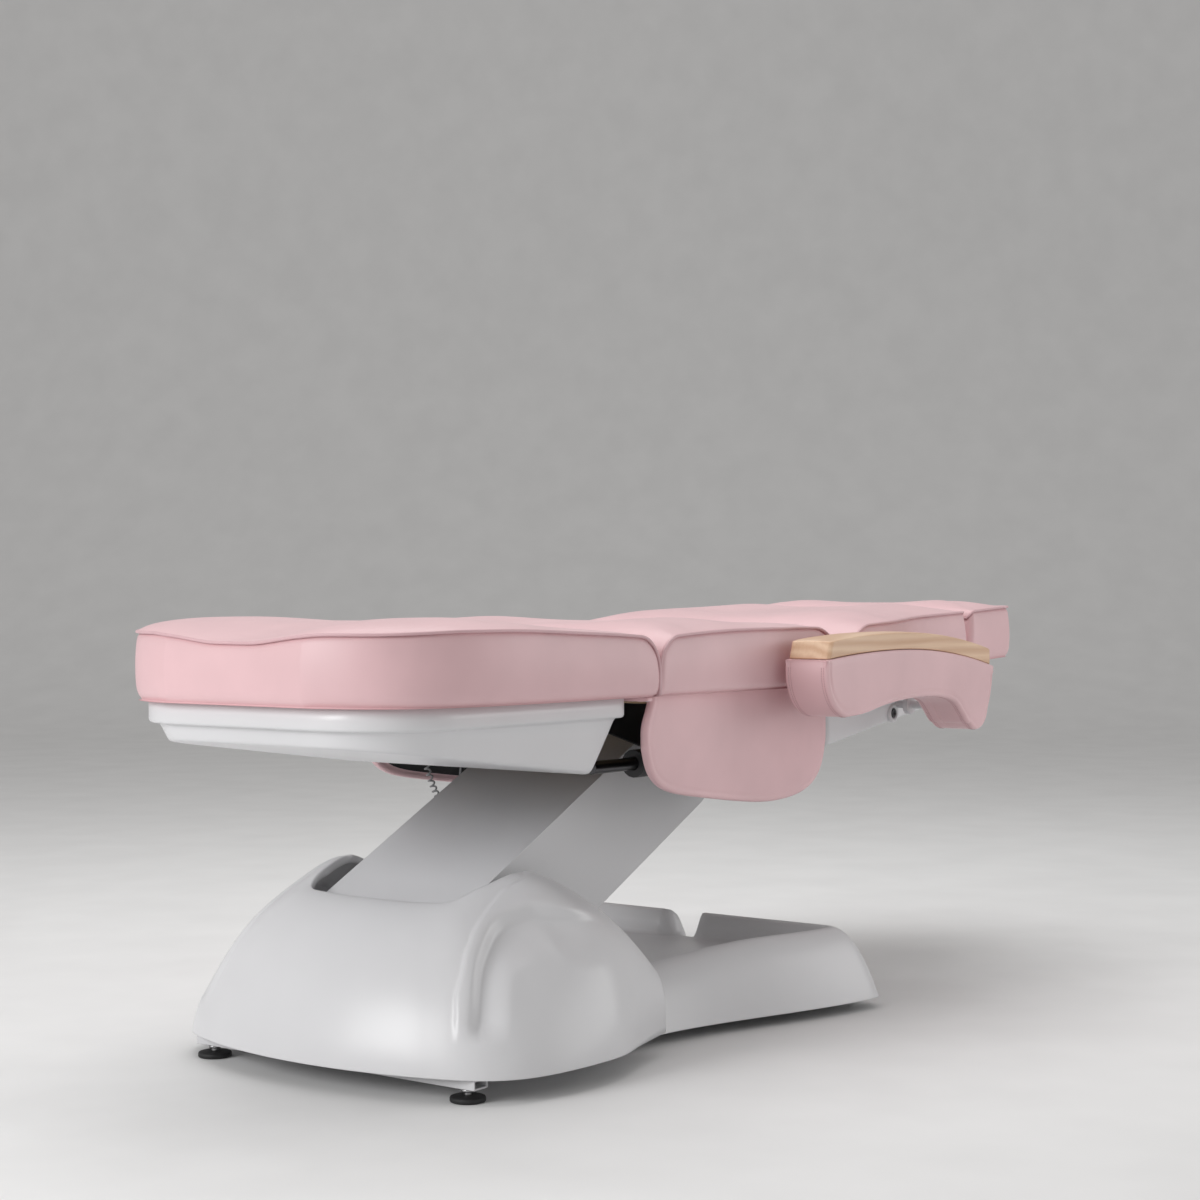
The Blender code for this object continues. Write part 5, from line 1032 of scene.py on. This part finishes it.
def ring_outline(start, end, half_width, start_corner, end_corner, steps=10):
    """Plan outline with rounded corners, counter-clockwise seen from above."""
    outline = []
    corners = ((start, -1, start_corner, 180), (end, -1, end_corner, 270), (end, 1, end_corner, 0),
               (start, 1, start_corner, 90))
    for x, side, radius, angle in corners:
        inward = 1.0 if x == start else -1.0
        centre = (x + inward * radius, side * (half_width - radius))
        outline += arc(centre, radius, angle, angle + 90, steps)
    return outline


def add_tray(node, body, start, end, floors, corners, rakes, turn=None):
    """Open moulded tray: a straight band, a soft step inwards and a sloping hull with a rounded floor."""
    band_z = BOARD_TOP - TRAY_BAND
    # Each ring: inset, height of the band there, share of the way down to the floor
    rings = [(inset, BOARD_TOP - share * TRAY_BAND, 0.0)
             for inset, share in ((0.0, 0.0), (0.0, 0.5), (0.0, 0.86), (TRAY_EDGE, 0.95))]
    rings += [(part * TRAY_STEP, band_z, 0.0) for part in (0.30, 0.60, 0.80)]
    rings.append((0.95 * TRAY_STEP, band_z - TRAY_EDGE, 0.0))
    rings += [(TRAY_STEP, band_z, q) for q in (0.06, 0.25, 0.5, 0.72, 0.86)]
    rings += [(TRAY_STEP + TRAY_FILLET * turn_in, band_z, q) for q, turn_in in TRAY_ROUNDING]
    points = []
    for inset, z, q in rings:
        outline = ring_outline(
            start + inset + rakes[0] * q, end - inset - rakes[1] * q, TRAY_HALF_WIDTH - inset - TRAY_SIDE_SLOPE * q,
            *(max(TRAY_SMALLEST_CORNER, corner - inset) for corner in corners))
        for x, y in outline:
            floor_z = floors[0] + (floors[1] - floors[0]) * (x - start) / (end - start)
            points.append((x, y, z + (floor_z - z) * q))
    faces = ring_faces(len(rings), len(points) // len(rings), first_cap=False)
    obj = add_mesh(node + "_shell", turn(points) if turn else points, faces)
    walled(obj, TRAY_WALL)
    worn_by(obj, body, "white_plastic", node)


def add_trays():
    add_tray("leg_tray", "leg", 0.020, 0.558, (0.488, 0.418), (0.135, 0.030), (0.010, 0.046))
    add_tray("back_tray", "back", 1.136, 1.640, (0.425, 0.477), (0.030, 0.060), (0.014, 0.032), hip_turn)


# Armrests


def armrest_top(x):
    fall = 0.197 if x < ARMREST_PEAK else 0.312
    return ARMREST_RISE - fall * (x - ARMREST_PEAK) ** 2


def armrest_underside():
    """Outline of the armrest below its cap: nose, belly, instep, toe and heel."""
    front = arc((-0.399, 0.086), 0.075, 168, 262, 34)
    belly = through([(-0.4094, 0.0117), (-0.348, 0.0155), (-0.283, 0.0260), (-0.213, 0.0330), (-0.138, 0.0355),
                     (-0.073, 0.0315), (-0.035, 0.0220), (-0.011, 0.0050), (0.012, -0.0150),
                     (0.0227, -0.0178)], 10)[1:-1]
    toe = arc((0.051, 0.0105), 0.040, 232, 350, 34)
    tail = through([toe[-1], (0.0985, 0.020), (0.104, 0.036), (0.1085, 0.052), (0.1105, 0.066)], 5)[1:]
    return front + [tuple(p) for p in belly] + toe + [tuple(p) for p in tail]


def on_armrest(side, x, y, z):
    return (ARMREST_ORIGIN[0] + x, side * (ARMREST_MIDDLE + y), ARMREST_ORIGIN[1] + z)


def add_armrest_pad(label, side):
    """Padded body with grooves along its seams, and a row of stitches on both sides of each gusset seam."""
    under = armrest_underside()
    from_edge = signed_distance(under)
    gusset = ARMREST_HALF - ARMREST_EDGE - ARMREST_PUFF
    run = np.gradient(np.asarray(under), axis=0)
    outward = [Vector((dz, -dx)).normalized() for dx, dz in run]
    if outward[len(under) // 2].y > 0.0:
        outward = [-n for n in outward]

    def pad_shape(i, v, t):
        x, z = under[i]
        height = max(0.0015, armrest_top(x) - z)
        rise = height * t ** 1.8
        edge = abs(from_edge(x, z + rise)) if t else 0.0
        inset = quarter_drop(edge, ARMREST_EDGE) + ARMREST_PUFF * math.exp(-edge / 0.030)
        inset += 0.0019 * hill(edge - FACE_SEAM, 0.0018)
        if height > 0.010:
            inset += 0.0018 * hill(height - rise, 0.003)
        if t == 0.0:
            groove = 0.0009 * hill((1.0 - abs(v)) * gusset - GUSSET_SEAM, 0.0012)
            instep = smoothstep(x, -0.050, -0.030) * smoothstep(0.045 - x, 0.0, 0.015)
            groove += 0.0016 * instep * hill((v - TOE_SEAM) * gusset, 0.0011)
            x -= outward[i].x * groove
            z -= outward[i].y * groove
        return on_armrest(side, x, v * (ARMREST_HALF - inset), z + rise)

    rim = [1.0 - e / gusset for e in (0.0, 0.0012, 0.0024, 0.0035, 0.0046, 0.006, 0.010, 0.016, 0.024)]
    seam = [TOE_SEAM + e / gusset for e in (-0.0024, -0.0011, 0.0, 0.0011, 0.0024)]
    across = sorted([-v for v in rim] + seam + [0.0] + rim)
    upward = [i / 18 for i in range(19)]
    pad, _ = block(f"armrest_{label}_pad", range(len(under)), across, upward, pad_shape)
    subdivided(pad)
    worn_by(pad, f"armrest_{label}", "leatherette", f"armrest_body_{label}")
    lines = []
    for from_seam in (-0.0020, 0.0022):
        for hand in (-1, 1):
            y = hand * (gusset - GUSSET_SEAM - from_seam)
            lines.append([on_armrest(side, x + out.x * 0.0001, y, z + out.y * 0.0001)
                          for (x, z), out in zip(under[3:], outward[3:])])
    stitched(f"armrest_{label}_stitches", lines, f"armrest_{label}", "leatherette", THREAD, 0.0040, 0.0015, 0.0006)


def add_armrest_cap(label, side):
    """Wooden cap with a raked front facet, chamfered corners and a rounded heel."""
    half = ARMREST_HALF - CAP_INSET
    front, heel = ARMREST_FRONT + CAP_END_GAP, ARMREST_HEEL - CAP_END_GAP
    columns = [front] + even(front + CAP_CHAMFER, heel - 0.010, 0.014) + [heel - 0.006, heel - 0.0025, heel]

    def cap_shape(x, v, w):
        narrow = CAP_CHAMFER * (1.0 - min(1.0, (x - front) / CAP_CHAMFER)) + quarter_drop(heel - x, 0.006)
        rise = CAP_THICKNESS - quarter_drop(heel - x, 0.010) + 0.0015 * (1.0 - v * v)
        lean = CAP_NOSE_LEAN * w * (1.0 - smoothstep(x - front, 0.0, 0.040))
        return on_armrest(side, x + lean, v * (half - narrow), armrest_top(x) + 0.0007 + w * rise)

    cap, _ = block(f"armrest_{label}_cap", columns, even(-1.0, 1.0, 0.25), [0.0, 1.0], cap_shape)
    bevelled(cap, 0.0032, 3, 24.0)
    worn_by(cap, f"armrest_{label}", "wood", f"armrest_cap_{label}", material=WOODS[label])


# Base covers


def press_band(obj):
    """Raise the rolled band round the hump's flank and press the hollow that fades out behind it."""
    to_outer, to_inner = signed_distance(through(BAND_OUTER, 6)), signed_distance(through(BAND_INNER, 6))
    shifts = []
    for vertex in obj.data.vertices:
        x, y, z = vertex.co.x - FOOT_END, abs(vertex.co.y), vertex.co.z
        inner = to_inner(x, z)
        band = smoothstep(inner, -0.005, 0.004) * (1.0 - smoothstep(to_outer(x, z), -0.0035, 0.0))
        fade = 0.042 + 0.040 * smoothstep(x, 0.27, 0.36)
        hollow = smoothstep(-inner, 0.0, 0.011) * (1.0 - smoothstep(-inner, 0.013, fade))
        share = smoothstep(y, 0.115, 0.160) * smoothstep(z, 0.078, 0.112) * smoothstep(0.50 - x, 0.0, 0.11)
        shifts.append(vertex.normal * (share * (BAND_RISE * band - HOLLOW_DEPTH * hollow)))
    for vertex, shift in zip(obj.data.vertices, shifts):
        vertex.co += shift


def cover_row(hem, mouth, top, bulge, steps=84):
    """One row of the front cover: lip, rolled rim and the bulging fall to the hem."""
    reach = hem - mouth
    away = reach / reach.length
    row = [(*mouth, top - MOUTH_LIP), (*mouth, top - MOUTH_LIP / 2)]
    for angle in (0.0, 30.0, 60.0):
        turn = math.radians(angle)
        place = mouth + away * (RIM_ROLL * (1.0 - math.cos(turn)))
        row.append((*place, top - RIM_ROLL * (1.0 - math.sin(turn))))
    first = math.asin((RIM_ROLL / reach.length) ** (bulge / 2))
    for i in range(steps + 1):
        t = first + (math.pi / 2 - first) * i / steps
        place = mouth + reach * math.sin(t) ** (2 / bulge)
        row.append((*place, HUMP_BOTTOM + (top - HUMP_BOTTOM) * max(0.0, math.cos(t)) ** (2 / bulge)))
    return row


def add_front_cover():
    """Domed skirt round the foot of the arm; each row runs from the mouth's lip down to the hem."""
    far_rows = [(hx, -hy, mx, -my, drop, bulge) for hx, hy, mx, my, drop, bulge in COVER_ROWS[:0:-1]]
    smooth = through(far_rows + COVER_ROWS, 32)
    points = []
    for hx, hy, mx, my, drop, bulge in smooth:
        points += cover_row(Vector((hx, hy)), Vector((mx, my)), HUMP_TOP - drop, bulge)
    obj = add_mesh("base_front_cover_shell", points, grid_faces(len(smooth), len(points) // len(smooth)))
    press_band(obj)
    walled(obj, COVER_WALL)
    worn_by(obj, "base", "white_plastic", "base_front_cover")


def rear_outer(x):
    return REAR_WAIST + (REAR_HALF_WIDTH - REAR_WAIST) * smoothstep(x, HUMP_END, REAR_END)


def rear_height(x, y):
    """Top of the rear cover: plateau, side ridges and the two lobes across the end, rounded to the hem."""
    outer = rear_outer(x)
    ridge = RIDGE_START + (RIDGE - RIDGE_START) * smoothstep(x, HUMP_END, HUMP_END + RIDGE_RUN)
    strip = y - (outer - RIDGE_WIDTH)
    qx, qy = LOBE_FRONT + LOBE_ROUND - x, NOTCH_HALF + LOBE_ROUND - y
    lobe = LOBE_ROUND - math.hypot(max(qx, 0.0), max(qy, 0.0)) - min(max(qx, qy), 0.0)
    bank, step = smoothstep(strip, -0.012, 0.022), smoothstep(lobe, -0.004, 0.014)
    top = PLATEAU + (ridge - PLATEAU) * max(bank, step)
    side, end = max(0.0, REAR_ROUND - (outer - y)), max(0.0, REAR_ROUND - (REAR_END - x))
    edge = min(1.0, (side ** REAR_CORNER + end ** REAR_CORNER) ** (1.0 / REAR_CORNER) / REAR_ROUND)
    return REAR_BOTTOM + (top - REAR_BOTTOM) * (1.0 - edge ** REAR_FALL)


def add_rear_cover():
    """Low cover behind the arm whose side ridges wrap round the rear in two lobes."""
    edge = [REAR_ROUND * (1.0 - math.cos(math.pi / 2 * i / 18)) for i in range(17, -1, -1)]
    stations = even(REAR_START, REAR_END - REAR_ROUND, 0.005) + [REAR_END - e for e in edge]
    points = []
    for x in stations:
        outer = rear_outer(x)
        flat = outer - REAR_ROUND
        ys = even(0.0, flat, flat / 60) + [outer - e for e in edge]
        back = REAR_ROUND - (REAR_END - x)
        if back > 0.0:
            # The plan corner is round, so rows near the end are drawn in to it
            left = max(0.0, 1.0 - (back / REAR_ROUND) ** REAR_CORNER)
            reach = flat + REAR_ROUND * left ** (1.0 / REAR_CORNER)
            ys = [y * reach / outer for y in ys]
        half = [(x, y, rear_height(x, y)) for y in ys]
        points += [(px, -y, z) for px, y, z in half[:0:-1]] + half
    obj = add_mesh("base_rear_cover_shell", points, grid_faces(len(stations), len(points) // len(stations)))
    walled(obj, COVER_WALL)
    worn_by(obj, "base", "white_plastic", "base_rear_cover")


# Feet and fixings


def add_levelling_foot(node):
    """Rubber disc with a lip and a threaded stem with its lock nut."""
    low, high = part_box(node)
    radius = (high.x - low.x) / 2
    place = (*middle_of(node)[:2], 0.0)
    turned(node + "_disc", [(radius * share, z) for share, z in FOOT_DISC], place, UP, "base", "black_rubber", node)
    turned(node + "_thread", FOOT_THREAD, place, UP, "base", "bare_steel", sides=24)
    turned(node + "_nut", FOOT_NUT, place, UP, "base", "bare_steel", sides=6)


def add_tray_boss(label, side):
    """White ring with a dark bolt on the flank of the back tray."""
    x, y, z = BOSS_PLACE
    place, out = (x, side * y, z), (0.0, float(side), 0.0)
    turned(f"back_tray_boss_{label}", BOSS_RING, place, out, "back", "white_plastic")
    turned(f"back_tray_boss_bolt_{label}", BOSS_BOLT, place, out, "back", "black_steel", sides=24)


def add_bolts():
    """Bolts in the ends of the hinge shafts."""
    for node, washer in SHAFT_WASHERS.items():
        low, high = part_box(node)
        x, _, z = middle_of(node)
        points = [(x, y, z) for y in (low.y - 0.0006, high.y + 0.0006)]
        repeated(node + "_bolts", BOLT_HEADS, points, [], NODE_BODY[node], "bare_steel", SLOT_MATERIAL["bare_steel"],
                 washer_radius=washer, head_radius=0.62 * washer, head_height=BOLT_HEIGHT)


def add_inlet_details():
    """Three pins and two screws in the face of the power inlet."""
    _, y, z = middle_of("power_inlet")
    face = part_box("power_inlet")[1].x - FOOT_END
    for index, (dy, dz) in enumerate(INLET_PIN_PLACES):
        turned(f"inlet_pin_{index + 1}", INLET_PIN, (face, y + dy, z + dz), REARWARD, "base", "bare_steel", sides=12)
    for index, dy in enumerate((-INLET_SCREW_REACH, INLET_SCREW_REACH)):
        turned(f"inlet_screw_{index + 1}", INLET_SCREW, (face, y + dy, z), REARWARD, "base", "bare_steel", sides=20)


# Rigid pieces finished from their own solids


def finished_copy(node, edge):
    """Copy of a node's solid with its facets merged and its edges eased."""
    source = frame["nodes"][node]
    bm = bmesh.new()
    bm.from_mesh(source.data)
    if node.startswith("carriage_plate"):
        for vertex in bm.verts:
            vertex.co.z = max(vertex.co.z, PLATE_TOE)
    bmesh.ops.remove_doubles(bm, verts=bm.verts, dist=1e-5)
    bmesh.ops.dissolve_limit(bm, angle_limit=math.radians(0.5), verts=bm.verts, edges=bm.edges)
    bmesh.ops.recalc_face_normals(bm, faces=bm.faces)
    mesh = bpy.data.meshes.new(node + "_finish")
    bm.to_mesh(mesh)
    bm.free()
    mesh.shade_smooth()
    mesh.set_sharp_from_angle(angle=math.radians(34.0))
    obj = add_object(node + "_finish", mesh)
    bevelled(obj, edge, 2, 50.0)
    worn_by(obj, NODE_BODY[node], source.data.materials[0].name, node, material=NODE_MATERIAL.get(node))


# Stage


def add_light(name, place, target, size, power):
    light = bpy.data.lights.new(name, "AREA")
    light.shape = "SQUARE"
    light.size = size
    light.energy = power
    obj = add_object(name, light)
    obj.location = place
    obj.rotation_euler = (Vector(target) - Vector(place)).to_track_quat("-Z", "Y").to_euler()
    return obj


def add_stage():
    """Floor that sweeps up behind the bed as the camera sees it, lights and world."""
    bm = bmesh.new()
    sweep = [(-6.0, 0.0), (7.0, 0.0)] + arc((7.0, 3.0), 3.0, -80, 0, 12) + [(10.0, 8.0)]
    heading = Matrix.Rotation(math.radians(90.0 + CAMERA_HEADING), 3, "Z")
    rows = [[bm.verts.new(heading @ Vector((along, side, z))) for side in (-9.0, 9.0)] for along, z in sweep]
    for first, second in zip(rows, rows[1:]):
        bm.faces.new((first[0], first[1], second[1], second[0]))
    mesh = bpy.data.meshes.new("studio_floor")
    bm.to_mesh(mesh)
    bm.free()
    mesh.shade_smooth()
    mesh.materials.append(moulded_material("studio_floor", (0.80, 0.80, 0.80), 40.0, 0.75, 0.0))
    floor = add_object("studio_floor", mesh)
    lights = [add_light(name, *values) for name, values in LIGHTS.items()]
    world = bpy.data.worlds.new("studio")
    world.use_nodes = True
    feed(world.node_tree, world.node_tree.nodes["Background"], {"Color": WORLD_COLOUR, "Strength": WORLD_STRENGTH})
    bpy.context.scene.world = world
    bpy.context.scene.view_settings.view_transform = "Standard"


add_camera()
add_curly_lead()
add_cushions()
add_knee_tuck()
for flank, sign in SIDES.items():
    add_side_flap(flank, sign)
    add_armrest_pad(flank, sign)
    add_armrest_cap(flank, sign)
    add_tray_boss(flank, sign)
    for place in ("front", "rear"):
        add_levelling_foot(f"levelling_foot_{place}_{flank}")
add_trays()
add_front_cover()
add_rear_cover()
add_bolts()
add_inlet_details()
dressed = {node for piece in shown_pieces() for node in piece.get("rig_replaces", [])}
for cad_node in sorted(set(frame["nodes"]) - dressed):
    finished_copy(cad_node, 0.0035 if cad_node == "lift_arm" else 0.0012)
add_stage()
